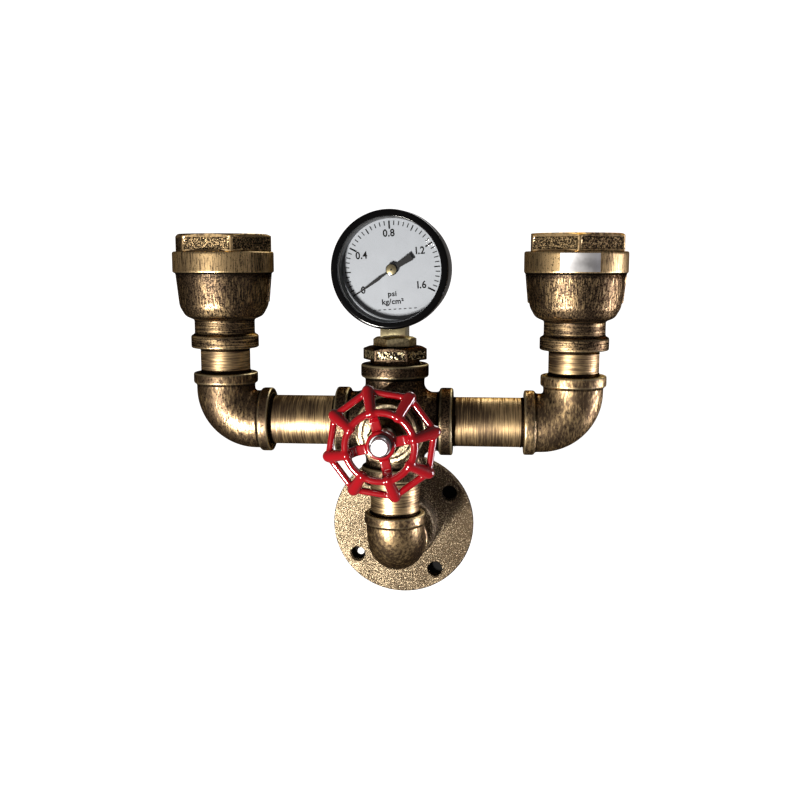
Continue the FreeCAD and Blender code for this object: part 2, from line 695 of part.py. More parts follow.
def gear_outline(teeth, cut_teeth, centre_angle):
    """Points of straight-sided teeth round a pitch circle, in order of angle."""
    pitch_r = GEAR_MODULE * teeth / 2
    half = TOOTH_SHARE * math.pi * GEAR_MODULE / 2
    slope = math.tan(math.radians(TOOTH_SLOPE))
    tip = 0.85 * GEAR_MODULE
    root = 1.2 * GEAR_MODULE
    points = []
    for i in range(cut_teeth):
        middle = math.radians(centre_angle + (i - (cut_teeth - 1) / 2) * 360 / teeth)
        for side, height in ((-1, -root), (-1, tip), (1, tip), (1, -root)):
            angle = middle + side * (half - height * slope) / pitch_r
            radius = pitch_r + height
            points.append(vec(radius * math.cos(angle), 0, radius * math.sin(angle)))
    return points


def gear_distance():
    return GEAR_MODULE * (PINION_TEETH + SECTOR_TEETH) / 2


def sheet_back():
    return BLOCK_FRONT


def sheet_inner():
    return BLOCK_FRONT - SHEET


def sheet_front():
    return sheet_inner() - SHEETS_APART


def pinion_arbor():
    """Arbor with its pinion and hairspring collet, from the back sheet to the pointer."""
    points = gear_outline(PINION_TEETH, PINION_TEETH, -90 + 180 / PINION_TEETH)
    gear_back = sheet_inner() - 0.5
    gear = Part.Face(Part.makePolygon(points + points[:1])).extrude(vec(0, -PINION_LONG, 0))
    gear = moved(gear, vec(0, gear_back, 0))
    arbor = ring_y(ARBOR_R, 0, DIAL_FRONT - POINTER_LIFT - POINTER_HUB, sheet_back() - 0.1)
    collet = ring_y(ARBOR_R + 0.4, 0, sheet_front() + 0.2, sheet_front() + 0.9)
    return fused([gear, arbor, collet])


def sector_gear():
    """Toothed sector, staff and tail about the sector's pivot, in the rest position."""
    rest = 90 - SECTOR_SWEEP / 2
    pitch_r = GEAR_MODULE * SECTOR_TEETH / 2
    rim_r = pitch_r - 2.6
    teeth = gear_outline(SECTOR_TEETH, SECTOR_CUT_TEETH, rest)
    half_span = (SECTOR_CUT_TEETH / 2 + 0.2) * 360 / SECTOR_TEETH
    ends = [at_angle(rim_r, rest + half_span), at_angle(rim_r - 0.3, rest),
            at_angle(rim_r, rest - half_span)]
    rim = Part.Face(Part.makePolygon(teeth + ends + teeth[:1]))
    arm = Part.Face(Part.makePolygon([vec(-1.2, 0, 0), vec(1.2, 0, 0), vec(2.6, 0, rim_r + 0.6),
                                      vec(-2.6, 0, rim_r + 0.6), vec(-1.2, 0, 0)]))
    arm = spin(arm, 90 - rest, axis=Y_AXIS)
    hub = Part.Face(Part.Wire(Part.Circle(ORIGIN, Y_AXIS, 2.4).toShape()))
    end = at_angle(TAIL_LENGTH, TAIL_REST)
    eye = Part.Face(Part.Wire(Part.Circle(end, Y_AXIS, LINK_R).toShape()))
    tail = Part.Face(Part.makePolygon([vec(0, 0, 1.0), vec(TAIL_LENGTH, 0, 1.0), vec(TAIL_LENGTH, 0, -1.0),
                                       vec(0, 0, -1.0), vec(0, 0, 1.0)]))
    tail = spin(tail, -TAIL_REST, axis=Y_AXIS)
    back = sheet_inner() - 1.0
    faces = (rim, arm, hub, eye, tail)
    flat = [moved(face.extrude(vec(0, -GEAR_THICK, 0)), vec(0, back, 0)) for face in faces]
    staff = ring_y(1.2, 0, sheet_front() + 0.15, sheet_inner() - 0.15)
    pivot = ring_y(ARBOR_R, 0, sheet_front() - SHEET + 0.1, sheet_back() - 0.1)
    pin = moved(ring_y(PIN_R, 0, back - GEAR_THICK - LINK_THICK - 0.5, back), end)
    return moved(fused(flat + [staff, pivot, pin]), vec(0, 0, -gear_distance()))


def tail_end():
    return at_angle(TAIL_LENGTH, TAIL_REST) + vec(0, 0, -gear_distance())


def link_far_end():
    return at_angle(TUBE_MID_R - 1.0, TUBE_END - 3.5)


def tip_link():
    """Flat link from the sector's tail to just in front of the tube's tip."""
    back = sheet_inner() - 1.0 - GEAR_THICK - 0.15
    near = tail_end()
    far = link_far_end()
    way = far - near
    long = way.Length
    way.normalize()
    bar = Part.Face(Part.makePolygon([vec(0, 0, 0.8), vec(long, 0, 0.8), vec(long, 0, -0.8),
                                      vec(0, 0, -0.8), vec(0, 0, 0.8)]))
    bar = bar.extrude(vec(0, -LINK_THICK, 0))
    bar = spin(bar, -math.degrees(math.atan2(way.z, way.x)), axis=Y_AXIS)
    bar = moved(bar, near + vec(0, back, 0))
    eyes = [moved(ring_y(LINK_R, 0, back - LINK_THICK, back), place) for place in (near, far)]
    hole = ring_y(PIN_R + PIVOT_GAP, 0, back - LINK_THICK - 1, back + 1)
    return fused([bar] + eyes).cut(fused([moved(hole, near), moved(hole, far)]))


def movement_sheet(front):
    """Brass plate with holes for the arbor and the sector's pivot."""
    sheet = box(vec(-SHEET_HALF_W, front, SHEET_FOOT), vec(SHEET_HALF_W, front + SHEET, SHEET_TOP))
    edges = [edge for edge in sheet.Edges if abs(edge.tangentAt(0).y) > 0.9]
    sheet = sheet.makeFillet(2.0, edges)
    for height in (0, -gear_distance()):
        hole = moved(ring_y(ARBOR_R + PIVOT_GAP, 0, front - 1, front + SHEET + 1), vec(0, 0, height))
        sheet = sheet.cut(hole)
    return sheet


def movement_pillars():
    """Four pillars that space the movement's plates."""
    pillars = []
    for x in (-PILLAR_X, PILLAR_X):
        for height in (PILLAR_Z, SHEET_FOOT + 1.8):
            pillars.append(moved(ring_y(PILLAR_R, 0, sheet_front(), sheet_inner()), vec(x, 0, height)))
    return pillars


def hairspring():
    """Flat spiral from beside the collet to a pillar."""
    end_angle = math.degrees(math.atan2(PILLAR_Z, PILLAR_X))
    first_r = ARBOR_R + 0.4 + 0.25
    last_r = math.hypot(PILLAR_X, PILLAR_Z) - PILLAR_R - 0.1
    turns = 3
    steps = turns * 20
    outer = []
    inner = []
    for i in range(steps + 1):
        share = i / steps
        angle = end_angle - 360 * turns * (1 - share)
        radius = first_r + (last_r - first_r) * share
        outer.append(at_angle(radius + 0.08, angle))
        inner.append(at_angle(radius - 0.08, angle))
    inner.reverse()
    band = Part.Face(Part.makePolygon(outer + inner + outer[:1]))
    return moved(band.extrude(vec(0, 0.5, 0)), vec(0, sheet_front() + 0.3, 0))


def pointer():
    """Pointer with a fine tapered tip, a broad tail and a domed hub, at its rest angle."""
    back = DIAL_FRONT - POINTER_LIFT
    half_widths = [(1.0, 0.5), (POINTER_WAIST, 0.35), (POINTER_SHOULDER, 0.85), (POINTER_TIP, 0.1)]
    edge = [vec(out, 0, half) for out, half in half_widths]
    edge += [vec(out, 0, -half) for out, half in reversed(half_widths)]
    blade = Part.Face(Part.makePolygon(edge + edge[:1]))
    tail = Part.Face(Part.makePolygon([vec(-1.0, 0, 1.2), vec(-POINTER_TAIL, 0, 1.35),
                                       vec(-POINTER_TAIL, 0, -1.35), vec(-1.0, 0, -1.2), vec(-1.0, 0, 1.2)]))
    parts = [moved(face.extrude(vec(0, -POINTER_THICK, 0)), vec(0, back, 0)) for face in (blade, tail)]
    hub = along_y(lathe([(0, -back), (POINTER_HUB_R, -back), (POINTER_HUB_R, -back + POINTER_HUB, 0.5),
                         (0, -back + POINTER_HUB)]))
    body = spin(fused(parts + [hub]), -POINTER_REST, axis=Y_AXIS)
    return body.cut(ring_y(ARBOR_R + 0.02, 0, back - POINTER_HUB - 1, back + 1))


def gauge_dial():
    inner = CASE_R - CASE_WALL
    return ring_y(inner - 0.1, DIAL_HOLE_R, DIAL_FRONT, DIAL_FRONT + DIAL_THICK)


def gasket():
    return ring_y(CASE_R - 0.1, BEZEL_OPEN_R + 0.2, CASE_RIM - GASKET_THICK, CASE_RIM)


def window():
    back = CASE_RIM - GASKET_THICK
    return ring_y(CASE_R - 0.1, 0, back - WINDOW_THICK, back)


# ---------------------------------------------------------------- handwheel along its axis, rim at zero
def handwheel():
    """Dished cast wheel: eight ribs from an inner ring back to an eight-sided rim, and four spokes."""
    tip_r = WHEEL_TIP_R - WHEEL_RIB_R
    ring_rise = WHEEL_RING_RISE
    outer = []
    pieces = []
    for i in range(WHEEL_RIBS):
        angle = WHEEL_TURN + 360 * i / WHEEL_RIBS
        end = spin_point(vec(tip_r, 0, 0), angle)
        start = spin_point(vec(WHEEL_RING_R, 0, ring_rise), angle)
        way = end - start
        outer.append(end)
        pieces.append(Part.makeCylinder(WHEEL_RIB_R, way.Length, start, way))
        pieces.append(Part.makeSphere(WHEEL_RIB_R, end))
        pieces.append(Part.makeSphere(WHEEL_RIB_R, start))
    for i in range(WHEEL_RIBS):
        way = outer[i] - outer[i - 1]
        pieces.append(Part.makeCylinder(WHEEL_BAR_R, way.Length, outer[i - 1], way))
    pieces.append(Part.makeTorus(WHEEL_RING_R, WHEEL_BAR_R, vec(0, 0, ring_rise)))
    half = WHEEL_SPOKE_W / 2
    low = WHEEL_PAD_RISE - WHEEL_SPOKE_THICK
    ring_low = ring_rise - WHEEL_SPOKE_THICK + WHEEL_BAR_R
    profile = [(WHEEL_HUB_R - 1.5, low), (WHEEL_PAD_R, low), (WHEEL_RING_R, ring_low),
               (WHEEL_RING_R, ring_rise + 1.0), (WHEEL_PAD_R + 1.6, WHEEL_PAD_RISE + 2.2, 1.0),
               (WHEEL_PAD_R, WHEEL_PAD_RISE, 0.6),
               (WHEEL_HUB_R - 1.5, WHEEL_PAD_RISE)]
    spoke = Part.Face(rounded_wire(profile)).extrude(vec(0, WHEEL_SPOKE_W, 0))
    spoke = moved(spoke, vec(0, -half, 0))
    for i in range(WHEEL_SPOKES):
        pieces.append(spin(spoke, WHEEL_TURN + 360 * i / WHEEL_SPOKES))
    recess_floor = WHEEL_HUB_FRONT - WHEEL_RECESS
    hub = lathe([(0, WHEEL_HUB_BACK), (WHEEL_HUB_R, WHEEL_HUB_BACK, 0.6),
                 (WHEEL_HUB_R, WHEEL_HUB_FRONT, 1.0), (WHEEL_RECESS_R, WHEEL_HUB_FRONT, 0.4),
                 (WHEEL_RECESS_R, recess_floor), (0, recess_floor)])
    body = fused(pieces + [hub])
    return body.cut(rod(BOLT_R + BOLT_GAP, WHEEL_HUB_BACK - 1, WHEEL_HUB_FRONT + 1))


def spin_point(point, degrees):
    return FreeCAD.Rotation(Z_AXIS, degrees).multVec(point)


def wheel_seat():
    """Distance from the arm axis to the floor of the hub's recess."""
    return WHEEL_RIM + WHEEL_HUB_FRONT - WHEEL_RECESS


def wheel_spindle():
    """Threaded spindle: shank in the front bushing, hexagon, and a round stem up to the hub."""
    base = CROSS_LEG + PLUG_SHOW + PLUG_HEAD + ADAPTER_SHOW
    stem_end = WHEEL_RIM + WHEEL_HUB_BACK - END_PLAY
    nut = hexagon(SPINDLE_NUT_AF, base, base + SPINDLE_NUT, 0.8)
    shank = rod(TAP_R, base - ADAPTER_HOLD, base)
    stem = rod(SPINDLE_R, base, stem_end)
    hole = rod(BOLT_R + PIVOT_GAP, stem_end - BOLT_HOLD - 1, stem_end + 1)
    return fused([nut, shank, stem]).cut(hole)


def wheel_washers():
    low = wheel_seat() + END_PLAY
    plain = pipe(WASHER_R, BOLT_R + BOLT_GAP, low, low + WASHER_THICK)
    middle = low + WASHER_THICK
    high = middle + SPRING_WASHER_THICK
    sprung = pipe(SPRING_WASHER_R, BOLT_R + BOLT_GAP, middle, high)
    split = box(vec(BOLT_R - 0.5, -0.3, middle - 0.5), vec(SPRING_WASHER_R + 1, 0.3, high + 0.5))
    return [plain, sprung.cut(split)]


def wheel_bolt():
    head_low = wheel_seat() + END_PLAY + WASHER_THICK + SPRING_WASHER_THICK
    head = hexagon(BOLT_HEAD_AF, head_low, head_low + BOLT_HEAD, 1.0)
    round_off = lathe([(0, head_low), (BOLT_HEAD_R, head_low), (BOLT_HEAD_R, head_low + BOLT_HEAD - 0.8),
                       (BOLT_HEAD_R - 0.8, head_low + BOLT_HEAD), (0, head_low + BOLT_HEAD)])
    shank_low = WHEEL_RIM + WHEEL_HUB_BACK - END_PLAY - BOLT_HOLD
    return fused([head.common(round_off), rod(BOLT_R, shank_low, head_low)])


# ---------------------------------------------------------------- assembly
def cup_foot():
    return ELBOW_LEG + CUP_NIPPLE_SHOW


def build_backbone():
    save("wall_flange", aim(wall_flange(), -Y_AXIS))
    nipple_end = REACH - ELBOW_LEG + THREAD_HOLD
    save("flange_nipple", aim(pipe(PIPE_R, PIPE_BORE_R, NIPPLE_SETBACK, nipple_end), -Y_AXIS))
    save("lower_elbow", moved(spin(lower_elbow(), 90), vec(0, -REACH, 0)))
    low = LOWER_ELBOW_TOP_LEG - LOWER_ELBOW_TOP_HOLD
    high = RISE - CROSS_LEG + THREAD_HOLD
    save("riser_nipple", moved(pipe(PIPE_R, PIPE_BORE_R, low, high), vec(0, -REACH, 0)))
    save("cross_fitting", moved(cross(), CROSS))


def build_arm(name, side, arm):
    """One arm, cup and lampholder; side is -1 for left and 1 for right."""
    inner = CROSS_LEG - THREAD_HOLD
    outer = arm - ELBOW_LEG + THREAD_HOLD
    save(name + "_arm_pipe", moved(aim(pipe(PIPE_R, PIPE_BORE_R, inner, outer), vec(side, 0, 0)), CROSS))
    corner = CROSS + vec(side * arm, 0, 0)
    save(name + "_elbow", moved(spin(upper_elbow(), 0 if side < 0 else 180), corner))
    foot = cup_foot()
    nipple = pipe(PIPE_R, PIPE_BORE_R, ELBOW_LEG - THREAD_HOLD, foot + THREAD_HOLD)
    save(name + "_cup_nipple", moved(nipple, corner))
    save(name + "_reducer", moved(cup(), corner + vec(0, 0, foot)))
    rim = corner + vec(0, 0, foot + CUP_HIGH)
    turn = LEFT_BUSHING_TURN if side < 0 else RIGHT_BUSHING_TURN
    save(name + "_hex_bushing", moved(hex_bushing(turn), rim))
    top = rim + vec(0, 0, BUSHING_HEAD)
    save(name + "_lampholder_body", moved(holder_body(), top))
    save(name + "_screw_shell", moved(screw_shell(), top))
    save(name + "_centre_contact", moved(centre_contact(), top))
    save(name + "_contact_spring", moved(contact_spring(), top))
    save(name + "_clamp_plate", moved(clamp_plate(), top))
    save(name + "_holder_screws", *[moved(screw, top) for screw in holder_screws()])
    save(name + "_terminals", *[moved(block, top) for block in terminals(side)])
    save(name + "_terminal_screws", *[moved(screw, top) for screw in terminal_screws(side)])
    end_z = top.z + terminal_high() - TERMINAL_HIGH + LEAD_INSERT
    for row, kind in ((-1, "live"), (1, "neutral")):
        across = side * LEAD_SPREAD
        depth = -REACH + row * LEAD_SPREAD
        level = RISE - LEAD_SPREAD
        route = [vec(across, -LEAD_SETBACK, row * LEAD_SPREAD), vec(across, depth, row * LEAD_SPREAD),
                 vec(across, depth, level), vec(corner.x + across, depth, level),
                 vec(corner.x + across, depth, end_z)]
        save(name + "_" + kind + "_lead", lead(route, LEAD_R, LEAD_BEND))


def build_gauge():
    plug_head = CROSS_LEG + PLUG_SHOW
    save("top_bushing", moved(plug(PLUG_TURN), CROSS + vec(0, 0, plug_head)))
    adapter_low = plug_head + PLUG_HEAD + ADAPTER_SHOW
    head = spin(hexagon(ADAPTER_AF, adapter_low, adapter_low + ADAPTER_HEAD, 0.9), ADAPTER_TURN)
    shank = rod(TAP_R, adapter_low - ADAPTER_HOLD, adapter_low)
    tap = rod(SOCKET_SHANK_R + THREAD_GAP, adapter_low - ADAPTER_HOLD - 1, adapter_low + ADAPTER_HEAD + 1)
    save("gauge_adapter", moved(fused([head, shank]).cut(tap), CROSS))
    centre = CROSS + vec(0, 0, adapter_low + ADAPTER_HEAD - case_bottom())

    def place(shape):
        return moved(spin(shape, GAUGE_TURN), centre)

    save("gauge_socket", place(gauge_socket()))
    save("gauge_case", place(gauge_case()))
    save("gauge_bezel", place(bezel()))
    save("gauge_gasket", place(gasket()))
    save("gauge_window", place(window()))
    save("gauge_inner_ring", place(inner_ring()))
    save("gauge_dial", place(gauge_dial()))
    save("gauge_pointer", place(pointer()))
    save("pinion_arbor", place(pinion_arbor()))
    save("sector_gear", place(sector_gear()))
    save("tip_link", place(tip_link()))
    save("movement_back_plate", place(movement_sheet(sheet_inner())))
    save("movement_front_plate", place(movement_sheet(sheet_front() - SHEET)))
    save("movement_pillars", *[place(pillar) for pillar in movement_pillars()])
    save("hairspring", place(hairspring()))
    save("bourdon_tube", place(tube_solid(TUBE_START, TUBE_END, 0)))
    save("tube_tip", place(tube_tip()))
    print("gauge centre", centre, "sector pivot below it", gear_distance(), "tail", tail_end())


def build_wheel():
    front = aim(plug(PLUG_TURN), -Y_AXIS)
    save("front_bushing", moved(front, CROSS + vec(0, -CROSS_LEG - PLUG_SHOW, 0)))
    save("wheel_spindle", moved(aim(wheel_spindle(), -Y_AXIS), CROSS))
    save("handwheel", moved(aim(handwheel(), -Y_AXIS), CROSS + vec(0, -WHEEL_RIM, 0)))
    save("wheel_washers", *[moved(aim(washer, -Y_AXIS), CROSS) for washer in wheel_washers()])
    save("wheel_bolt", moved(aim(wheel_bolt(), -Y_AXIS), CROSS))


os.makedirs("parts", exist_ok=True)
build_backbone()
build_arm("left", -1, LEFT_ARM)
build_arm("right", 1, RIGHT_ARM)
build_gauge()
build_wheel()
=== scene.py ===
import cmath
import math

import bmesh
import bpy
from mathutils import Matrix, Vector

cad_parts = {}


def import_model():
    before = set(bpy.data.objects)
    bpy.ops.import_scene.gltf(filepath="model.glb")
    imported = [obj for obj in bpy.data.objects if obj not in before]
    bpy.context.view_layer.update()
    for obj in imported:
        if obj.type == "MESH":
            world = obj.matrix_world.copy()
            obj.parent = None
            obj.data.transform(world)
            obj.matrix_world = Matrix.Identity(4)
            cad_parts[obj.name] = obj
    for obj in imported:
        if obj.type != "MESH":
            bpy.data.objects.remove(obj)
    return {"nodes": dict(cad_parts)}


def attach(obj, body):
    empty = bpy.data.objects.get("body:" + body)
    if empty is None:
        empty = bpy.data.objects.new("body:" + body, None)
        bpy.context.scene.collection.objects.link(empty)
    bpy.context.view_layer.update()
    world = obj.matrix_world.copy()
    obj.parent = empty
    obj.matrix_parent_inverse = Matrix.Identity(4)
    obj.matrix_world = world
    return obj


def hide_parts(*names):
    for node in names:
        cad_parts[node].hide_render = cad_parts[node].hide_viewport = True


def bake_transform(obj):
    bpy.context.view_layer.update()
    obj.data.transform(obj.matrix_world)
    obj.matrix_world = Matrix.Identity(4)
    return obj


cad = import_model()["nodes"]
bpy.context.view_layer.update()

# Two-light pipe wall lamp. Shapes are worked out in millimetres in each piece's own frame,
# with its axis along +Z, and then put in place in metres.
MM = 0.001

# ------------------------ dimensions, as in the part's source
PIPE_R = 13.35
PIPE_BORE_R = 10.5
PORT_R = 13.45
MOUTH_R = 14.35
MOUTH_DEPTH = 2.6
THREAD_HOLD = 12.5
PORT_STOP = 1.2
REACH = 58.0
RISE = 72.0
ARMS = {"left": -93.2, "right": 95.4}
HEX_TURNS = {"left": -6.0, "right": 28.0}
ELBOW_LEG = 26.0
ELBOW_BEND = 17.0
ELBOW_BODY_R = 15.8
ELBOW_BEAD_R = 17.4
ELBOW_BEAD_W = 5.6
LOWER_BEAD_R = 16.8
LOWER_TOP_LEG = 21.0
LOWER_TOP_HOLD = 9.5
FLANGE_R = 42.5
FLANGE_THICK = 5.5
FLANGE_HUB_R = 19.5
FLANGE_HIGH = 16.0
FLANGE_HOLD = 12.0
FLANGE_HOLES = 4
FLANGE_HOLE_R = 4.5
FLANGE_HOLE_OUT = 34.0
FLANGE_HOLE_TURN = 35.0
CROSS_LEG = 31.5
CROSS_BODY_R = 16.0
CROSS_BEAD_R = 18.3
CROSS_BEAD_W = 7.0
CROSS_BLEND = 5.0
CUP_FOOT = 39.5
CUP_FOOT_BEAD_R = 18.2
CUP_FOOT_BEAD_W = 6.7
CUP_NECK_R = 16.2
CUP_NECK_Z = 15.2
CUP_SHOULDER_R = 20.8
CUP_SHOULDER_Z = 17.2
CUP_BELLY_R = 23.8
CUP_BELLY_Z = 22.5
CUP_BOWL_R = 25.6
CUP_WALL = 3.0
CUP_HIGH = 51.7
CUP_BEAD_R = 27.1
CUP_BEAD_W = 11.0
CUP_BEAD_LOW = CUP_HIGH - CUP_BEAD_W
CUP_THREAD_R = 23.9
CUP_THREAD_LOW = 35.2
CUP_RIB_W = 3.0
CUP_RIB_HIGH = 16.0
BUSHING = {"across_flats": 47.4, "high": 9.2, "chamfer": 1.2, "bore_r": 21.8, "corner_r": 27.1}
BUSHING_HOLD = 15.0
PLUG = {"across_flats": 30.0, "high": 6.9, "chamfer": 1.0, "bore_r": 6.7, "corner_r": 17.3}
PLUG_SHOW = 2.2
PLUG_HOLD = 11.0
ADAPTER = {"across_flats": 20.5, "high": 4.6, "chamfer": 0.9, "bore_r": 4.96, "corner_r": 11.8}
ADAPTER_LOW = 41.1
ADAPTER_THREAD_R = 6.6
ADAPTER_HOLD = 9.0
GAUGE_RISE = 81.7
GAUGE_TURN = -5.0
PRINT_CANT = 4.0
POINTER_REST = 215.0
POINTER_LEVEL = 9.85
CASE_R = 30.0
CASE_WALL = 0.9
CASE_BACK = -8.5
CASE_FRONT = 13.5
BEZEL_R = 31.0
BEZEL_OPEN_R = 27.0
BEZEL_BACK = 8.5
BEZEL_FRONT = 18.0
DIAL_BACK = 7.2
DIAL_FRONT = 8.0
WHEEL_RIM = 69.0
WHEEL_TURN = 14.0
WHEEL_RIBS = 8
WHEEL_TIP_R = 26.1
WHEEL_RING_R = 16.4
WHEEL_RING_RISE = 7.8
WHEEL_SPOKES = 4
THREAD_PITCH = 1.814
THREAD_SHOW = 1.6
LAMP_THREAD_PITCH = 3.629

CROSS = Vector((0, -REACH, RISE))
X_AXIS = Vector((1, 0, 0))
Y_AXIS = Vector((0, 1, 0))
Z_AXIS = Vector((0, 0, 1))


def spin(angle, axis="Z"):
    """Turn by an angle in degrees."""
    return Matrix.Rotation(math.radians(angle), 4, axis)


# ------------------------ node trees
def add(tree, kind, inputs=None, outlet=0, **settings):
    """New node; an input may be a value or another node's outlet."""
    made = tree.nodes.new(kind)
    for key, value in settings.items():
        setattr(made, key, value)
    for key, value in (inputs or {}).items():
        if isinstance(value, bpy.types.NodeSocket):
            tree.links.new(value, made.inputs[key])
        else:
            made.inputs[key].default_value = value
    return made.outputs[outlet]


def maths(tree, operation, first, second):
    return add(tree, "ShaderNodeMath", {0: first, 1: second}, operation=operation)


def times(tree, first, second):
    return maths(tree, "MULTIPLY", first, second)


def plus(tree, first, second, share=1.0):
    """First and a share of second."""
    return maths(tree, "ADD", first, times(tree, second, share))


def ramp(tree, factor, low, high):
    """Smooth step of factor between two of its values."""
    return add(tree, "ShaderNodeMapRange", {"Value": factor, "From Min": low, "From Max": high},
               interpolation_type="SMOOTHSTEP")


def blend(tree, factor, first, second):
    """Mix of two colours; 6 and 7 are the node's colour sockets."""
    return add(tree, "ShaderNodeMix", {0: factor, 6: first, 7: second}, outlet=2, data_type="RGBA")


def colour(red, green, blue):
    return (red, green, blue, 1.0)


def new_finish(name, **sockets):
    material = bpy.data.materials.new(name)
    material.use_nodes = True
    shader = material.node_tree.nodes["Principled BSDF"]
    for key, value in sockets.items():
        shader.inputs[key.replace("_", " ")].default_value = value
    return material, material.node_tree, shader


def pattern(tree, scale, detail, roughness, lean=0.0):
    """Noise on the piece's own coordinates, with features per metre the same all ways or along each axis."""
    place = add(tree, "ShaderNodeTexCoord", outlet="Object")
    scale = scale if isinstance(scale, tuple) else (scale,) * 3
    mapped = add(tree, "ShaderNodeMapping", {"Vector": place, "Scale": scale,
                                             "Rotation": (0, math.radians(lean), 0)})
    return add(tree, "ShaderNodeTexNoise", {"Vector": mapped, "Scale": 1.0, "Detail": detail,
                                            "Roughness": roughness})


def distance_along(tree, axis):
    """The piece's own coordinate along one axis, in metres."""
    place = add(tree, "ShaderNodeTexCoord", outlet="Object")
    return add(tree, "ShaderNodeSeparateXYZ", {0: place}, outlet=axis)


def set_bump(tree, shader, height, strength, distance):
    shape = add(tree, "ShaderNodeBump", {"Height": height, "Strength": strength, "Distance": distance})
    tree.links.new(shape, shader.inputs["Normal"])


# ------------------------ finishes
GOLD = colour(0.77, 0.545, 0.28)
PALE_GOLD = colour(0.90, 0.76, 0.46)
BROWN = colour(0.115, 0.078, 0.048)
UMBER = colour(0.008, 0.006, 0.005)
EDGE_TINT = colour(0.10, 0.07, 0.05)


def patina(tree, tone, wear=0.6):
    """Darkens the hollows that mark_hollows found and rubs the edges bright."""
    hollow = add(tree, "ShaderNodeAttribute", outlet="Fac", attribute_name="hollow")
    tone = blend(tree, times(tree, ramp(tree, hollow, -0.03, -0.16), wear), tone, PALE_GOLD)
    return blend(tree, times(tree, ramp(tree, hollow, 0.012, 0.10), 0.9), tone, UMBER)


def antique_bronze(name, lines, worn, pitted, rough, relief, grain=1400.0, lean=0.0, streak=None,
                   streak_from=None, rubbed_from=None):
    """Brown patina brushed through to gold, with dark pits.

    The patina is worn and pitted by those shares, and rough holds the roughness of the gold and of the brown.
    From one height a second brushing may take over, and from another the surface may be rubbed brighter.
    """
    material, tree, shader = new_finish(name, Metallic=1.0, Specular_Tint=EDGE_TINT)
    brushed = pattern(tree, lines, 5.0, 0.62, lean)
    if streak:
        height = distance_along(tree, "Z")
        upper = ramp(tree, height, streak_from - 0.0006, streak_from + 0.0006)
        rubbed = ramp(tree, height, rubbed_from - 0.0002, rubbed_from + 0.0002)
        streaks = pattern(tree, streak, 5.0, 0.62)
        lower = times(tree, brushed, maths(tree, "SUBTRACT", 1.0, upper))
        brushed = maths(tree, "ADD", lower, times(tree, streaks, upper))
        brushed = plus(tree, brushed, rubbed, 0.18)
        # Darker in a band just under the rubbed height.
        below = ramp(tree, height, rubbed_from - 0.0040, rubbed_from - 0.0010)
        brushed = plus(tree, brushed, times(tree, below, maths(tree, "SUBTRACT", 1.0, rubbed)), -0.20)
    mixed = plus(tree, brushed, pattern(tree, 55, 3.0, 0.5), 0.5)
    tone = blend(tree, ramp(tree, mixed, 1.15 - worn, 1.50 - worn), BROWN, GOLD)
    pits = pattern(tree, grain, 3.0, 0.6)
    blacks = plus(tree, times(tree, pits, 0.65), brushed, 0.35)
    black = ramp(tree, blacks, 0.34 + pitted, 0.27 + pitted)
    tone = blend(tree, times(tree, black, 0.9), tone, UMBER)
    tree.links.new(patina(tree, tone, 0.25 if streak else 0.6), shader.inputs["Base Color"])
    dull = add(tree, "ShaderNodeMapRange", {"Value": mixed, "From Min": 0.4, "From Max": 1.1,
                                            "To Min": rough[1], "To Max": rough[0]})
    tree.links.new(dull, shader.inputs["Roughness"])
    set_bump(tree, shader, plus(tree, times(tree, brushed, 0.7), pits, 0.4), relief, 0.0003)
    return material


def sand_cast(name, gold, dark, cover, relief, rough, grain, shade_towards_x=0.0):
    """Grainy cast surface under a gold wash, which may be darkened more and more towards +X as painted shade.
    """
    material, tree, shader = new_finish(name, Metallic=1.0, Roughness=rough, Specular_Tint=EDGE_TINT)
    grains = pattern(tree, grain, 3.0, 0.6)
    level = plus(tree, grains, pattern(tree, 60, 3.0, 0.5), 0.25)
    # Painted shade: the wash darkens towards +X, the side the light reaches least.
    if shade_towards_x:
        level = plus(tree, level, distance_along(tree, "X"), -shade_towards_x)
    lit = ramp(tree, level, 0.74 - cover, 0.90 - cover)
    tree.links.new(patina(tree, blend(tree, lit, dark, gold)), shader.inputs["Base Color"])
    set_bump(tree, shader, grains, relief, 0.0006)
    return material


def plated(name, tone, rough, grain=400.0, spread=0.08, **sockets):
    """Machined or plated metal with faint unevenness in tone and gloss."""
    material, tree, shader = new_finish(name, Metallic=1.0, **sockets)
    clouds = pattern(tree, grain, 3.0, 0.5)
    darker = colour(*[part * (1 - 2.5 * spread) for part in tone[:3]])
    tree.links.new(blend(tree, ramp(tree, clouds, 0.35, 0.65), darker, tone), shader.inputs["Base Color"])
    gloss = add(tree, "ShaderNodeMapRange", {"Value": clouds, "To Min": rough * 0.75,
                                             "To Max": rough * 1.25})
    tree.links.new(gloss, shader.inputs["Roughness"])
    return material


def painted(name, tone, rough, coat=0.0, orange_peel=0.0, grain=250.0, spread=0.1, **sockets):
    """Paint, enamel or plastic with slight unevenness."""
    material, tree, shader = new_finish(name, Roughness=rough, Coat_Weight=coat, Coat_Roughness=0.04,
                                        **sockets)
    clouds = pattern(tree, grain, 2.0, 0.5)
    darker = colour(*[part * (1 - spread) for part in tone[:3]])
    tree.links.new(blend(tree, clouds, darker, tone), shader.inputs["Base Color"])
    if orange_peel:
        set_bump(tree, shader, clouds, orange_peel, 0.0006)
    return material


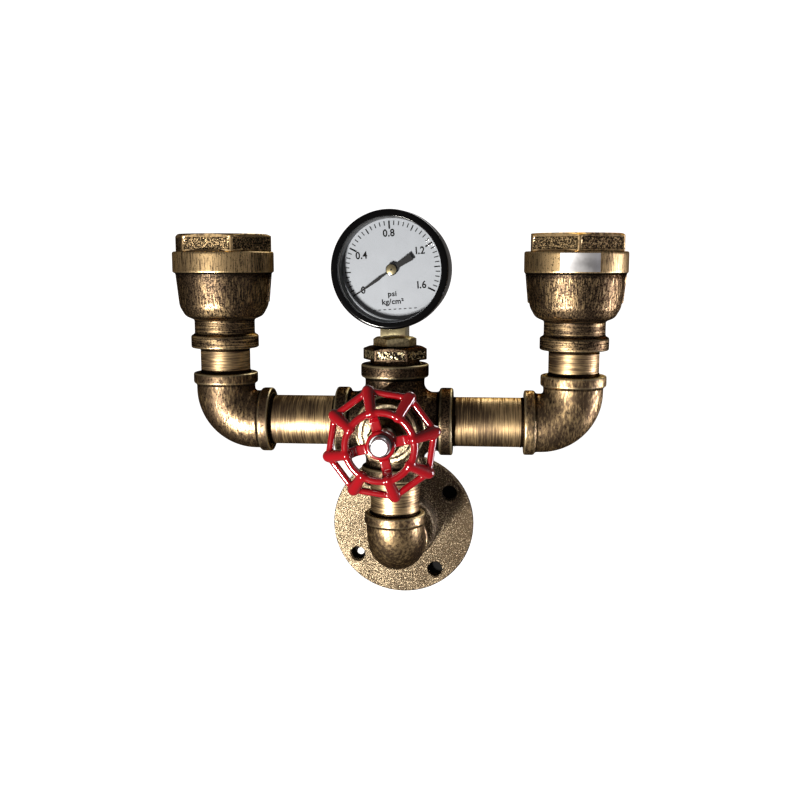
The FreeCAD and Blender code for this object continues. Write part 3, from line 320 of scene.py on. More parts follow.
bronze_along_x = antique_bronze("bronze_arm_pipe", (1900, 70, 70), 0.515, 0.03, (0.34, 0.48), 0.16)
bronze_along_z = antique_bronze("bronze_upright_pipe", (70, 70, 1900), 0.54, 0.03, (0.34, 0.48), 0.16)
bronze_bell = antique_bronze("bronze_bell", (60, 60, 1500), 0.45, 0.18, (0.30, 0.46), 0.35, 1200.0,
                             streak=(1500, 1500, 150), streak_from=0.1290, rubbed_from=0.1522)
bronze_left_elbow = antique_bronze("bronze_left_elbow", (900, 300, 300), 0.42, 0.13, (0.32, 0.46), 0.45,
                                   1000.0, 40)
bronze_right_elbow = antique_bronze("bronze_right_elbow", (900, 300, 300), 0.49, 0.10, (0.32, 0.46), 0.40,
                                    1000.0, -40)
bronze_cross = antique_bronze("bronze_cross", 700, 0.30, 0.19, (0.32, 0.48), 0.7, 1300.0)
bronze_lower_elbow = antique_bronze("bronze_lower_elbow", (560, 560, 460), 0.48, 0.07, (0.28, 0.44), 0.24)
# The flange's last number darkens it towards +X as painted shade.
flange_gold = sand_cast("flange_gold", colour(0.44, 0.350, 0.230), colour(0.080, 0.058, 0.036), 0.165, 1.4,
                        0.40, 1250.0, 1.9)
hex_bronze = antique_bronze("hex_bronze", 400, 0.62, 0.02, (0.26, 0.38), 0.2, 1600.0)
panel_bronze = antique_bronze("cast_panel", 1300, 0.55, 0.225, (0.26, 0.36), 0.5, 1300.0)
plug_bronze = antique_bronze("plug_bronze", 400, 0.30, 0.17, (0.32, 0.46), 0.5, 1300.0)
panel_gold = sand_cast("rough_gold_panel", PALE_GOLD, UMBER, 0.15, 1.0, 0.36, 800.0)
face_brass = sand_cast("turned_face", colour(0.62, 0.52, 0.34), colour(0.08, 0.06, 0.035), 0.30, 0.6,
                       0.36, 1000.0)
machined_brass = plated("machined_brass", colour(0.84, 0.72, 0.42), 0.20)
aged_brass = plated("aged_brass", colour(0.68, 0.57, 0.34), 0.32, 900.0, 0.18, Specular_Tint=EDGE_TINT)
# Near-black thread band: painted shade in the joints where pipes enter their fittings.
thread_shade = plated("thread_shade", colour(0.035, 0.022, 0.012), 0.45, 900.0, 0.25, Specular_Tint=EDGE_TINT)
# Near-black spindle: painted shade, as it sits in the handwheel's shadow.
spindle_painted_shade = plated("spindle_painted_shade", colour(0.07, 0.045, 0.02), 0.34, 900.0, 0.25)
sheet_brass = plated("sheet_brass", colour(0.80, 0.60, 0.28), 0.34, 1500.0)
tube_bronze = plated("tube_bronze", colour(0.62, 0.38, 0.20), 0.30, 1500.0)
nickel = plated("nickel_plate", colour(0.72, 0.69, 0.62), 0.20)
zinc = plated("zinc_plate", colour(0.60, 0.60, 0.58), 0.38, 900.0, 0.15)
spring_wire = plated("spring_wire", colour(0.50, 0.50, 0.50), 0.30, 2000.0)
bolt_chrome = plated("bolt_chrome", colour(0.50, 0.515, 0.54), 0.46, 500.0, 0.05)
red_enamel = painted("red_enamel", colour(0.175, 0.0003, 0.003), 0.24, 1.0, 0.10, Specular_IOR_Level=0.2)
gloss_black = painted("gloss_black", colour(0.0008, 0.0008, 0.001), 0.12, Specular_IOR_Level=0.25)
ring_grey = painted("ring_grey", colour(0.020, 0.021, 0.023), 0.40)
dial_paint = painted("dial_paint", colour(0.270, 0.294, 0.330), 0.55, grain=120.0, spread=0.14)
print_black = painted("print_black", colour(0.002, 0.002, 0.002), 0.8, Specular_IOR_Level=0.1)
pointer_black = painted("pointer_black", colour(0.010, 0.010, 0.011), 0.5, Specular_IOR_Level=0.15)
porcelain = painted("porcelain", colour(0.86, 0.85, 0.80), 0.12, 0.5, spread=0.05)
rubber = painted("seal_rubber", colour(0.02, 0.02, 0.02), 0.75, grain=1200.0, spread=0.3)
brown_cover = painted("brown_insulation", colour(0.10, 0.035, 0.012), 0.42, grain=900.0, spread=0.2)
blue_cover = painted("blue_insulation", colour(0.02, 0.06, 0.30), 0.42, grain=900.0, spread=0.2)
label_silver = plated("label_silver", colour(0.60, 0.60, 0.62), 0.45, 120.0, 0.10)
clear_glass = painted("clear_glass", colour(0.01, 0.012, 0.012), 0.04, spread=0.02, Alpha=0.05)


# ------------------------ shapes
def along(direction, at=(0, 0, 0), turn=0.0):
    """Placement that turns a piece about its own axis, points that axis along direction and moves it."""
    aim = Z_AXIS.rotation_difference(direction).to_matrix().to_4x4()
    return Matrix.Translation(Vector(at)) @ aim @ spin(turn)


def outline(corners, steps=7):
    """Closed outline from (radius, height) or (radius, height, rounding) corners."""
    points = []
    for i, corner in enumerate(corners):
        if len(corner) == 2:
            points.append(corner)
            continue
        before, after = corners[i - 1], corners[(i + 1) % len(corners)]
        before, here, after = (complex(*spot[:2]) for spot in (before, corner, after))
        back = (before - here) / abs(before - here)
        ahead = (after - here) / abs(after - here)
        half = abs(cmath.phase(ahead / back)) / 2
        middle = back + ahead
        centre = here + middle / abs(middle) * corner[2] / math.sin(half)
        first = here + back * corner[2] / math.tan(half) - centre
        last = here + ahead * corner[2] / math.tan(half) - centre
        sweep = cmath.phase(last / first)
        for k in range(steps + 1):
            point = centre + first * cmath.exp(1j * sweep * k / steps)
            points.append((point.real, point.imag))
    return points


def skin(rings, place=Matrix(), closed=True, capped=False):
    """Mesh through rings of points; a ring of one point is a pole."""
    shape = bmesh.new()
    made = [[shape.verts.new(point) for point in ring] for ring in rings]
    if capped:
        shape.faces.new(made[0])
        shape.faces.new(made[-1])
    for first, second in zip(made, made[1:] + made[:1] if closed else made[1:]):
        if len(first) == 1 and len(second) == 1:
            continue
        count = max(len(first), len(second))
        for k in range(count):
            loop = [first[k % len(first)], first[(k + 1) % len(first)],
                    second[(k + 1) % len(second)], second[k % len(second)]]
            shape.faces.new(list(dict.fromkeys(loop)))
    bmesh.ops.recalc_face_normals(shape, faces=shape.faces)
    shape.transform(place)
    return shape


def full_turn(count):
    return [2 * math.pi * k / count for k in range(count)]


def at_angle(radius, angle, level):
    return (radius * math.cos(angle), radius * math.sin(angle), level)


def turned(corners, place=Matrix(), segments=144, steps=7):
    """Solid turned about its axis from an outline."""
    angles = full_turn(segments)
    return skin([[at_angle(radius, a, height) for a in angles] if radius > 1e-6 else [(0, 0, height)]
                 for radius, height in outline(corners, steps)], place)


def bend(radius, tube_r, place=Matrix()):
    """Quarter ring from the +Z leg to the +X leg."""
    steps = 40
    rings = [[(0, 0, radius)]]
    for i in range(steps + 1):
        sweep = math.pi / 2 * i / steps
        ring = []
        for angle in full_turn(96):
            out = radius - tube_r * math.cos(angle)
            ring.append((radius - out * math.cos(sweep), tube_r * math.sin(angle),
                         radius - out * math.sin(sweep)))
        rings.append(ring)
    rings.append([(radius, 0, 0)])
    return skin(rings, place, closed=False)


def slab(low, high, place=Matrix()):
    """Plain block."""
    shape = bmesh.new()
    bmesh.ops.create_cube(shape, size=1.0)
    middle = (Vector(low) + Vector(high)) / 2
    size = Vector(high) - Vector(low)
    shape.transform(place @ Matrix.Translation(middle) @ Matrix.Diagonal((*size, 1)))
    return shape


def extruded(profile, width, place=Matrix()):
    """Solid of an (x, z) outline, width wide along y."""
    points = outline(profile, 5)
    rings = [[(x, side, z) for x, z in points] for side in (-width / 2, width / 2)]
    return skin(rings, place, closed=False, capped=True)


def hexagon_reach(across_flats, angle, corner_r):
    """Radius of a hexagon with a flat facing -Y, its corners cut back to corner_r."""
    off = (math.degrees(angle) + 30) % 60 - 30
    return min(across_flats / 2 / math.cos(math.radians(30 - abs(off))), corner_r)


def hexagon_head(across_flats, high, chamfer, bore_r, corner_r, panel=0.0, groove=()):
    """Hexagonal head with a turned top edge and a bore.

    A panel is sunk by that depth in each flat, and a groove of two radii is turned in the top; the faces of
    both take the second finish.
    """
    angles = full_turn(360)
    top_r = across_flats / 2 - 0.2
    straight = high - chamfer
    half_panel = across_flats / math.sqrt(12) - 1.3
    sunk = (1.0, straight - 0.7)
    levels = [0, 0.25]
    if panel:
        levels += [sunk[0], sunk[0] + 0.3, sunk[1] - 0.3, sunk[1]]
    levels += [straight + chamfer * i / 6 for i in range(7)]

    def circle(radius, level):
        return [at_angle(radius, a, level) for a in angles]

    def across(angle):
        off = abs(math.degrees(angle) % 60 - 30)
        return across_flats / 2 * math.tan(math.radians(off))

    rings = [circle(bore_r, 0)]
    for level in levels:
        ring = []
        for a in angles:
            reach = hexagon_reach(across_flats, a, corner_r) - (0.25 if level == 0 else 0)
            if level > straight:
                reach = min(reach, corner_r + (top_r - corner_r) * (level - straight) / chamfer)
            if panel and sunk[0] < level < sunk[1] and across(a) < half_panel:
                reach -= panel
            ring.append(at_angle(reach, a, level))
        rings.append(ring)
    if groove:
        outer, inner = groove
        floor = high - 0.7
        rings += [circle(outer, high), circle(outer, floor), circle(inner, floor), circle(inner, high)]
    rings.append(circle(bore_r, high))
    shape = skin(rings)
    for face in shape.faces:
        middle = face.calc_center_median()
        turned_top = groove and middle.z > high - 0.01
        level_in = panel and sunk[0] < middle.z < sunk[1]
        in_panel = level_in and across(math.atan2(middle.y, middle.x)) < half_panel
        if (turned_top or in_panel) and middle.xy.length > bore_r + 0.1:
            face.material_index = 1
    return shape


# ------------------------ pieces
def in_scene(name, mesh):
    thing = bpy.data.objects.new(name, mesh)
    bpy.context.scene.collection.objects.link(thing)
    return thing


def rough_object(shapes):
    """One object, still in millimetres, from any number of shapes."""
    mesh = bpy.data.meshes.new("work")
    whole = bmesh.new()
    for shape in shapes:
        part = bpy.data.meshes.new("work_part")
        shape.to_mesh(part)
        shape.free()
        whole.from_mesh(part)
        bpy.data.meshes.remove(part)
    whole.to_mesh(mesh)
    whole.free()
    return in_scene("work", mesh)


def take_in(shape, thing):
    """Adds an object's mesh to a shape, and removes the object."""
    shape.from_mesh(thing.data)
    bpy.data.objects.remove(thing)


def evaluated(thing):
    """Plain mesh of an object with its modifiers, which is then removed."""
    graph = bpy.context.evaluated_depsgraph_get()
    mesh = bpy.data.meshes.new_from_object(thing.evaluated_get(graph))
    bpy.data.objects.remove(thing)
    return mesh


def melted(shapes, grain=0.45, rounds=5):
    """Castings: the shapes run together with soft inner corners."""
    thing = rough_object(shapes)
    remesh = thing.modifiers.new("melt", "REMESH")
    remesh.mode = "VOXEL"
    remesh.voxel_size = grain
    smooth = thing.modifiers.new("soften", "SMOOTH")
    smooth.factor = 0.5
    smooth.iterations = rounds
    return in_scene("work", evaluated(thing))


def cut_away(thing, tools):
    """The object less each tool."""
    made = []
    for tool in tools:
        cutter = rough_object([tool])
        made.append(cutter)
        cut = thing.modifiers.new("cut", "BOOLEAN")
        cut.operation = "DIFFERENCE"
        cut.solver = "EXACT"
        cut.object = cutter
    mesh = evaluated(thing)
    for cutter in made:
        bpy.data.objects.remove(cutter)
    return in_scene("work", mesh)


def mark_hollows(thing):
    """Stores on each point how far its surroundings stand above it, in mm."""
    soft = in_scene("work", thing.data.copy())
    smooth = soft.modifiers.new("soften", "SMOOTH")
    smooth.factor = 0.5
    smooth.iterations = 14
    soft_mesh = evaluated(soft)
    marks = thing.data.attributes.new("hollow", "FLOAT", "POINT")
    for mark, point, soft_point in zip(marks.data, thing.data.vertices, soft_mesh.vertices):
        mark.value = (soft_point.co - point.co).dot(point.normal)
    bpy.data.meshes.remove(soft_mesh)


def piece(name, thing, finish, body="lamp_body", instead_of=(), crease=32.0, second_finish=None,
          span=()):
    """Names an object or shapes, gives them their finish and size in metres, and hands them to their body.

    With a span the object is left out of any body, with its placement baked in; the span's body and points
    are not used.
    """
    if isinstance(thing, list):
        thing = rough_object(thing)
    mesh = thing.data
    mesh.transform(Matrix.Scale(MM, 4))
    parts = [face.material_index if second_finish else 0 for face in mesh.polygons]
    mesh.materials.clear()
    mesh.materials.append(finish)
    if second_finish:
        mesh.materials.append(second_finish)
    for face, part in zip(mesh.polygons, parts):
        face.material_index = part
        face.use_smooth = True
    mesh.set_sharp_from_angle(angle=math.radians(crease))
    mesh.name = name
    thing.name = name
    if span:
        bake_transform(thing)
    else:
        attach(thing, body)
    if instead_of:
        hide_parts(*instead_of)
    return thing


def dressed(node, finish, body="lamp_body", edge=0.0):
    """Smooth copy of a CAD node, with its sharp edges eased when an edge width is given."""
    shape = bmesh.new()
    shape.from_mesh(cad[node].data)
    bmesh.ops.remove_doubles(shape, verts=shape.verts, dist=1e-7)
    if edge:
        bmesh.ops.dissolve_limit(shape, angle_limit=math.radians(1.0), verts=shape.verts, edges=shape.edges)
    shape.transform(Matrix.Scale(1 / MM, 4))
    thing = rough_object([shape])
    if edge:
        bevel = thing.modifiers.new("ease", "BEVEL")
        bevel.width = edge
        bevel.segments = 2
        bevel.limit_method = "ANGLE"
        bevel.angle_limit = math.radians(50)
        thing = in_scene("work", evaluated(thing))
    piece(node + "_finished", thing, finish, body, [node], 28.0)


# ------------------------ geometry node trees
def new_tree(name, count, lengths):
    """Geometry tree with inputs for a count, lengths and a finish; gives it and the inputs' outlets."""
    tree = bpy.data.node_groups.new(name, "GeometryNodeTree")
    tree.interface.new_socket("Geometry", in_out="OUTPUT", socket_type="NodeSocketGeometry")
    kinds = {count: "Int", **{label: "Float" for label in lengths}, "Finish": "Material"}
    for label, kind in kinds.items():
        tree.interface.new_socket(label, in_out="INPUT", socket_type="NodeSocket" + kind)
    return tree, tree.nodes.new("NodeGroupInput").outputs


def end_tree(tree, geometry, finish):
    whole = add(tree, "GeometryNodeRealizeInstances", {"Geometry": geometry})
    whole = add(tree, "GeometryNodeSetMaterial", {"Geometry": whole, "Material": finish})
    tree.links.new(whole, tree.nodes.new("NodeGroupOutput").inputs[0])
    return tree


def grown(tree, values):
    """Object that a tree makes with these values of its inputs."""
    thing = in_scene("work", bpy.data.meshes.new("work"))
    growth = thing.modifiers.new("growth", "NODES")
    growth.node_group = tree
    for item in tree.interface.items_tree:
        if item.in_out == "INPUT":
            growth[item.identifier] = values[item.name]
    return in_scene("work", evaluated(thing))


def vector_of(tree, x=0.0, y=0.0, z=0.0):
    return add(tree, "ShaderNodeCombineXYZ", {0: x, 1: y, 2: z})


def circle_of(tree, corners, radius):
    return add(tree, "GeometryNodeCurvePrimitiveCircle", {"Resolution": corners, "Radius": radius})


def tube_on(tree, curve, radius, sides=24):
    return add(tree, "GeometryNodeCurveToMesh", {"Curve": curve, "Fill Caps": True,
                                                 "Profile Curve": circle_of(tree, sides, radius)})


def around(tree, shape, count, first, step):
    """Copies of a shape turned about Z, first and step in radians."""
    points = add(tree, "GeometryNodeMeshLine", {"Count": count, "Offset": (0, 0, 0)})
    index = add(tree, "GeometryNodeInputIndex")
    angle = plus(tree, first, index, step)
    return add(tree, "GeometryNodeInstanceOnPoints", {"Points": points, "Instance": shape,
                                                      "Rotation": vector_of(tree, z=angle)})


def joined(tree, shapes):
    join = tree.nodes.new("GeometryNodeJoinGeometry")
    for shape in shapes:
        tree.links.new(shape, join.inputs[0])
    return join.outputs[0]


def shifted(tree, shape, place):
    return add(tree, "GeometryNodeTransform", {"Geometry": shape, "Translation": place})


def helix_tree():
    """Helix of round wire or of a thread's ridge."""
    tree, given = new_tree("helix", "Sides", ["Radius", "Pitch", "Turns", "Ridge"])
    height = times(tree, given["Pitch"], given["Turns"])
    line = add(tree, "GeometryNodeCurveSpiral", {"Resolution": 72, "Rotations": given["Turns"],
                                                 "Start Radius": given["Radius"],
                                                 "End Radius": given["Radius"], "Height": height})
    return end_tree(tree, tube_on(tree, line, given["Ridge"], given["Sides"]), given["Finish"])


def graduation_tree():
    """Equal marks round a dial."""
    tree, given = new_tree("dial_graduations", "Marks", ["First angle", "Step", "Inner radius",
                                                         "Outer radius", "Width", "Thickness"])
    length = maths(tree, "SUBTRACT", given["Outer radius"], given["Inner radius"])
    middle = times(tree, plus(tree, given["Outer radius"], given["Inner radius"]), 0.5)
    size = vector_of(tree, length, given["Width"], given["Thickness"])
    mark = add(tree, "GeometryNodeMeshCube", {"Size": size})
    mark = shifted(tree, mark, vector_of(tree, middle))
    marks = around(tree, mark, given["Marks"], given["First angle"], given["Step"])
    return end_tree(tree, marks, given["Finish"])


def wheel_tree():
    """Cornered rim and raised inner ring of a dished handwheel."""
    tree, given = new_tree("handwheel_rims", "Corners", ["Rim radius", "Ring radius", "Ring rise",
                                                         "Bar radius"])
    rim = circle_of(tree, given["Corners"], given["Rim radius"])
    ring = shifted(tree, circle_of(tree, 128, given["Ring radius"]), vector_of(tree, z=given["Ring rise"]))
    hoops = joined(tree, [tube_on(tree, line, given["Bar radius"]) for line in (rim, ring)])
    return end_tree(tree, hoops, given["Finish"])


# ------------------------ fittings
def port(leg, start, body_r, bead_r, bead_w, direction):
    """Leg of a fitting with its bead."""
    low = leg - bead_w
    return turned([(0, start), (body_r, start), (body_r, low - 0.6, 1.0), (bead_r, low, 1.2),
                   (bead_r, leg, 0.8), (0, leg)], along(direction))


def port_bore(leg, hold, direction):
    """Threaded bore of a leg with its wider mouth."""
    stop = leg - hold - PORT_STOP
    return turned([(0, stop), (PORT_R, stop), (PORT_R, leg - MOUTH_DEPTH), (MOUTH_R, leg - MOUTH_DEPTH / 2),
                   (MOUTH_R, leg + 1), (0, leg + 1)], along(direction))


def casting(name, node, body, bores, place, finish):
    """The body less its bores, in place of a CAD node."""
    cast = cut_away(body, bores)
    mark_hollows(cast)
    cast.data.transform(place)
    piece(name, cast, finish, instead_of=[node])


def make_elbow(name, node, place, finish, bead_r, top_leg=ELBOW_LEG, top_hold=THREAD_HOLD):
    if top_leg == ELBOW_LEG:
        top = port(top_leg, ELBOW_BEND, ELBOW_BODY_R, bead_r, ELBOW_BEAD_W, Z_AXIS)
    else:
        low = top_leg - ELBOW_BEAD_W
        top = turned([(0, low), (bead_r, low, 0.8), (bead_r, top_leg, 0.8), (0, top_leg)])
    side = port(ELBOW_LEG, ELBOW_BEND, ELBOW_BODY_R, bead_r, ELBOW_BEAD_W, X_AXIS)
    bores = [bend(ELBOW_BEND, PIPE_BORE_R), port_bore(top_leg, top_hold, Z_AXIS),
             port_bore(ELBOW_LEG, THREAD_HOLD, X_AXIS)]
    casting(name, node, melted([bend(ELBOW_BEND, ELBOW_BODY_R), top, side]), bores, place, finish)


def make_cross():
    ways = [X_AXIS, -X_AXIS, Z_AXIS, -Y_AXIS]
    body = [port(CROSS_LEG, 0, CROSS_BODY_R, CROSS_BEAD_R, CROSS_BEAD_W, way) for way in ways + [Z_AXIS]]
    bores = [port_bore(CROSS_LEG, THREAD_HOLD, way) for way in ways + [Z_AXIS]]
    for shape in (body[-1], bores[-1]):
        shape.transform(spin(180, "X"))
    for i in range(4):
        for quarter in (spin(90 * i, "Y"), spin(90 * i, "Y") @ spin(90, "X")):
            body.append(bend(CROSS_BODY_R + CROSS_BLEND, CROSS_BODY_R - 0.05, quarter))
    casting("cross_casting", "cross_fitting", melted(body, 0.5), bores, Matrix.Translation(CROSS),
            bronze_cross)


def hole_angle(number):
    """Angle of a screw hole of the flange, in degrees."""
    return FLANGE_HOLE_TURN + 360 / FLANGE_HOLES * number


def make_flange():
    plate = turned([(PORT_R, 0), (FLANGE_R, 0, 0.6), (FLANGE_R, FLANGE_THICK, 1.2),
                    (FLANGE_HUB_R + 1, FLANGE_THICK, 2.0), (FLANGE_HUB_R, FLANGE_HIGH, 1.5),
                    (MOUTH_R, FLANGE_HIGH), (MOUTH_R, FLANGE_HIGH - MOUTH_DEPTH / 2),
                    (PORT_R, FLANGE_HIGH - MOUTH_DEPTH)], segments=240)
    holes = []
    for i in range(FLANGE_HOLES):
        place = spin(hole_angle(i)) @ Matrix.Translation((FLANGE_HOLE_OUT, 0, 0))
        holes.append(turned([(0, -1), (FLANGE_HOLE_R, -1), (FLANGE_HOLE_R, FLANGE_THICK - 0.4),
                             (FLANGE_HOLE_R + 0.8, FLANGE_THICK + 0.4), (0, FLANGE_THICK + 0.4)], place, 64))
    plate = cut_away(rough_object([plate]), holes)
    plate.data.transform(along(-Y_AXIS))
    piece("flange_casting", plate, flange_gold, instead_of=["wall_flange"])


helix = helix_tree()


def make_pipe(name, node, direction, start, faces, finish, hold=THREAD_HOLD):
    """Pipe from hold inside the first port's face to the thread's hold past the last one's.

    Its thread shows at both faces, painted near black as painted shade in the joint with each fitting.
    """
    first, last = faces
    low, high = first - hold, last + THREAD_HOLD
    bands = [(first - MOUTH_DEPTH, first + THREAD_SHOW), (last - THREAD_SHOW, last + MOUTH_DEPTH)]
    whole = turned([(PIPE_BORE_R, low), (PIPE_R, low, 0.4)]
                   + [(PIPE_R, level) for band in bands for level in band]
                   + [(PIPE_R, high, 0.4), (PIPE_BORE_R, high)], steps=3)
    for face in whole.faces:
        middle = face.calc_center_median()
        if middle.xy.length > (PIPE_BORE_R + PIPE_R) / 2 and any(a < middle.z < b for a, b in bands):
            face.material_index = 1
    for bottom, top in bands:
        ridge = grown(helix, {"Radius": PIPE_R - 0.02, "Pitch": THREAD_PITCH, "Ridge": 0.3, "Sides": 6,
                              "Turns": (top - bottom) / THREAD_PITCH, "Finish": thread_shade})
        ridge.data.transform(Matrix.Translation((0, 0, bottom)))
        for face in ridge.data.polygons:
            face.material_index = 1
        take_in(whole, ridge)
    whole.transform(along(direction, start))
    piece(name, [whole], finish, instead_of=[node], second_finish=thread_shade)


def make_bell(name, node, place):
    shell = turned([(0, 0), (CUP_FOOT_BEAD_R, 0, 0.8), (CUP_FOOT_BEAD_R, CUP_FOOT_BEAD_W, 1.2),
                    (CUP_NECK_R, CUP_FOOT_BEAD_W + 0.8, 1.0), (CUP_NECK_R, CUP_NECK_Z, 0.8),
                    (CUP_SHOULDER_R, CUP_SHOULDER_Z, 5.0), (CUP_BELLY_R, CUP_BELLY_Z, 8.0),
                    (CUP_BOWL_R, CUP_BEAD_LOW - 0.6), (CUP_BEAD_R, CUP_BEAD_LOW, 0.5),
                    (CUP_BEAD_R, CUP_HIGH, 1.0), (0, CUP_HIGH)])
    foot, head = CUP_BELLY_R + 1.1, CUP_BOWL_R + 0.9
    low, high = CUP_BEAD_LOW - CUP_RIB_HIGH, CUP_BEAD_LOW + 1.0
    rib = extruded([(-foot, low), (foot, low), (head, high), (-head, high)], CUP_RIB_W)
    stop = THREAD_HOLD + PORT_STOP
    low_bore = turned([(0, stop), (PORT_R, stop), (PORT_R, MOUTH_DEPTH), (MOUTH_R, MOUTH_DEPTH / 2),
                       (MOUTH_R, -1), (0, -1)])
    inside = turned([(0, THREAD_HOLD), (PIPE_BORE_R, THREAD_HOLD), (PIPE_BORE_R, CUP_SHOULDER_Z - 1),
                     (CUP_SHOULDER_R - CUP_WALL, CUP_SHOULDER_Z + 1, 2.5),
                     (CUP_BELLY_R - CUP_WALL, CUP_BELLY_Z + 1.5, 4.0),
                     (CUP_THREAD_R - 1.2, CUP_THREAD_LOW - 0.7), (CUP_THREAD_R, CUP_THREAD_LOW),
                     (CUP_THREAD_R, CUP_HIGH + 1), (0, CUP_HIGH + 1)])
    casting(name, node, melted([shell, rib], 0.42, 3), [low_bore, inside], place, bronze_bell)


def make_hexagon(name, node, place, finishes, head, thread_r, hold):
    """Hexagonal head on its threaded barrel."""
    bore_r = head["bore_r"]
    barrel = turned([(bore_r, -hold), (thread_r, -hold, 0.8), (thread_r, 0.02), (bore_r, 0.02)], segments=128)
    whole = rough_object([hexagon_head(**head), barrel])
    whole.data.transform(place)
    piece(name, whole, finishes[0], instead_of=[node], second_finish=finishes[1])


# ------------------------ lampholders
def rolled_shell(name, node, place):
    """Lamp thread rolled in thin sheet."""
    low, high, inner, wall, levels = -19.1, -1.6, 13.3, 0.45, 150
    rings = []
    for side, steps in enumerate((range(levels + 1), range(levels, -1, -1))):
        for i in steps:
            z = low + (high - low) * i / levels
            ring = []
            for angle in full_turn(120):
                wave = (1 - math.cos(2 * math.pi * z / LAMP_THREAD_PITCH - angle)) / 2
                fade = min(1.0, (z - low) / 2, (high - z) / 2)
                ring.append(at_angle(inner + side * wall * 0.5 + (wall * 0.5) * wave * fade, angle, z))
            rings.append(ring)
    piece(name, [skin(rings, place)], nickel, instead_of=[node], crease=60)


def make_contact_spring(side, top):
    """Coil between its chamber's floor and the contact's head."""
    foot, head, turns = top + Vector((0, 0, -30.18)), top + Vector((0, 0, -24.32)), 4.0
    coil = grown(helix, {"Radius": 2.3, "Pitch": (head - foot).length / turns, "Turns": turns, "Ridge": 0.3,
                         "Sides": 16, "Finish": spring_wire})
    coil.data.transform(Matrix.Translation(foot))
    node = side + "_contact_spring"
    piece(node + "_coil", coil, spring_wire, instead_of=[node],
          span=(side + "_contact", foot, head))


def make_lamp(side, x):
    corner = CROSS + Vector((x, 0, 0))
    foot = corner + Vector((0, 0, CUP_FOOT))
    rim = foot + Vector((0, 0, CUP_HIGH))
    top = rim + Vector((0, 0, BUSHING["high"]))
    outward, elbow_turn, elbow_finish = (1, 180, bronze_right_elbow) if x > 0 else (-1, 0, bronze_left_elbow)
    run = abs(x) - ELBOW_LEG
    make_pipe(side + "_arm_tube", side + "_arm_pipe", X_AXIS * outward, CROSS, (CROSS_LEG, run),
              bronze_along_x)
    make_elbow(side + "_elbow_casting", side + "_elbow", Matrix.Translation(corner) @ spin(elbow_turn),
               elbow_finish, ELBOW_BEAD_R)
    make_pipe(side + "_upright_tube", side + "_cup_nipple", Z_AXIS, corner, (ELBOW_LEG, CUP_FOOT),
              bronze_along_z)
    make_bell(side + "_bell_casting", side + "_reducer", Matrix.Translation(foot))
    make_hexagon(side + "_hexagon", side + "_hex_bushing", along(Z_AXIS, rim, HEX_TURNS[side]),
                 (hex_bronze, panel_bronze), {**BUSHING, "panel": 0.35},
                 CUP_THREAD_R - 0.1, BUSHING_HOLD)
    dressed(side + "_lampholder_body", porcelain)
    rolled_shell(side + "_rolled_shell", side + "_screw_shell", Matrix.Translation(top))
    dressed(side + "_centre_contact", sheet_brass, side + "_contact")
    make_contact_spring(side, top)
    dressed(side + "_holder_screws", zinc)


def make_label():
    """Bare silver sticker on the right bell's rim."""
    radius, low, high = CUP_BEAD_R + 0.02, 0.55, CUP_BEAD_W - 1.0
    section = [(radius, low), (radius, high), (radius + 0.12, high), (radius + 0.12, low)]
    rings = [[at_angle(out, math.radians(-111.7 + 43.0 * k / 40), level) for out, level in section]
             for k in range(41)]
    foot = CROSS + Vector((ARMS["right"], 0, CUP_FOOT + CUP_BEAD_LOW))
    piece("rim_label", [skin(rings, Matrix.Translation(foot), closed=False, capped=True)], label_silver,
          crease=50)


# ------------------------ gauge
gauge_centre = CROSS + Vector((0, 0, GAUGE_RISE))
gauge_place = Matrix.Translation(gauge_centre) @ spin(GAUGE_TURN)
facing = gauge_place @ spin(90, "X")


def lettering(words, size, x, y, stretch, weight):
    """Flat words in the dial's plane, x to the right and y up."""
    text = bpy.data.curves.new("words", "FONT")
    text.body = words
    text.size = size
    text.align_x = "CENTER"
    text.align_y = "CENTER"
    text.extrude = 0.02
    text.offset = weight
    text.space_character = 1.06
    if words.startswith("1"):
        text.body_format[0].kerning = -10
    text.resolution_u = 6
    mesh = evaluated(in_scene("words", text))
    mesh.transform(spin(PRINT_CANT) @ Matrix.Translation((x, y, 0)) @ Matrix.Diagonal((stretch, 1, 1, 1)))
    return mesh


def make_dial_print():
    tree = graduation_tree()
    whole = bmesh.new()
    for marks, every, inner, width in ((41, 1, 23.1, 0.50), (9, 5, 22.3, 0.62), (5, 10, 21.2, 0.84)):
        take_in(whole, grown(tree, {"Marks": marks, "First angle": math.radians(214.0),
                                    "Step": math.radians(-6.0) * every, "Inner radius": inner,
                                    "Outer radius": 25.4, "Width": width, "Thickness": 0.05,
                                    "Finish": print_black}))
    numbers = [("0", 215.2, 19.1), ("0.4", 156.5, 18.0), ("0.8", 95.6, 18.9), ("1.2", 34.0, 17.4),
               ("1.6", -27.6, 17.3)]
    for words, angle, radius in numbers:
        x, y, level = at_angle(radius, math.radians(angle - PRINT_CANT), 0)
        whole.from_mesh(lettering(words, 5.3, x, y, 0.93, 0.125))
    for words, y in (("psi", -12.7), ("kg/cm²", -16.8)):
        whole.from_mesh(lettering(words, 3.9, -0.9, y, 1.06, 0.10))
    dashes = []
    for i in range(9):
        middle = 2.75 * (i - 4)
        dashes.append(slab((middle - 0.7, -21.0, 0), (middle + 0.7, -20.55, 0.05), spin(PRINT_CANT)))
    take_in(whole, rough_object(dashes))
    whole.transform(facing @ Matrix.Translation((0, 0, DIAL_FRONT + 0.03)))
    piece("dial_print", [whole], print_black, crease=30)


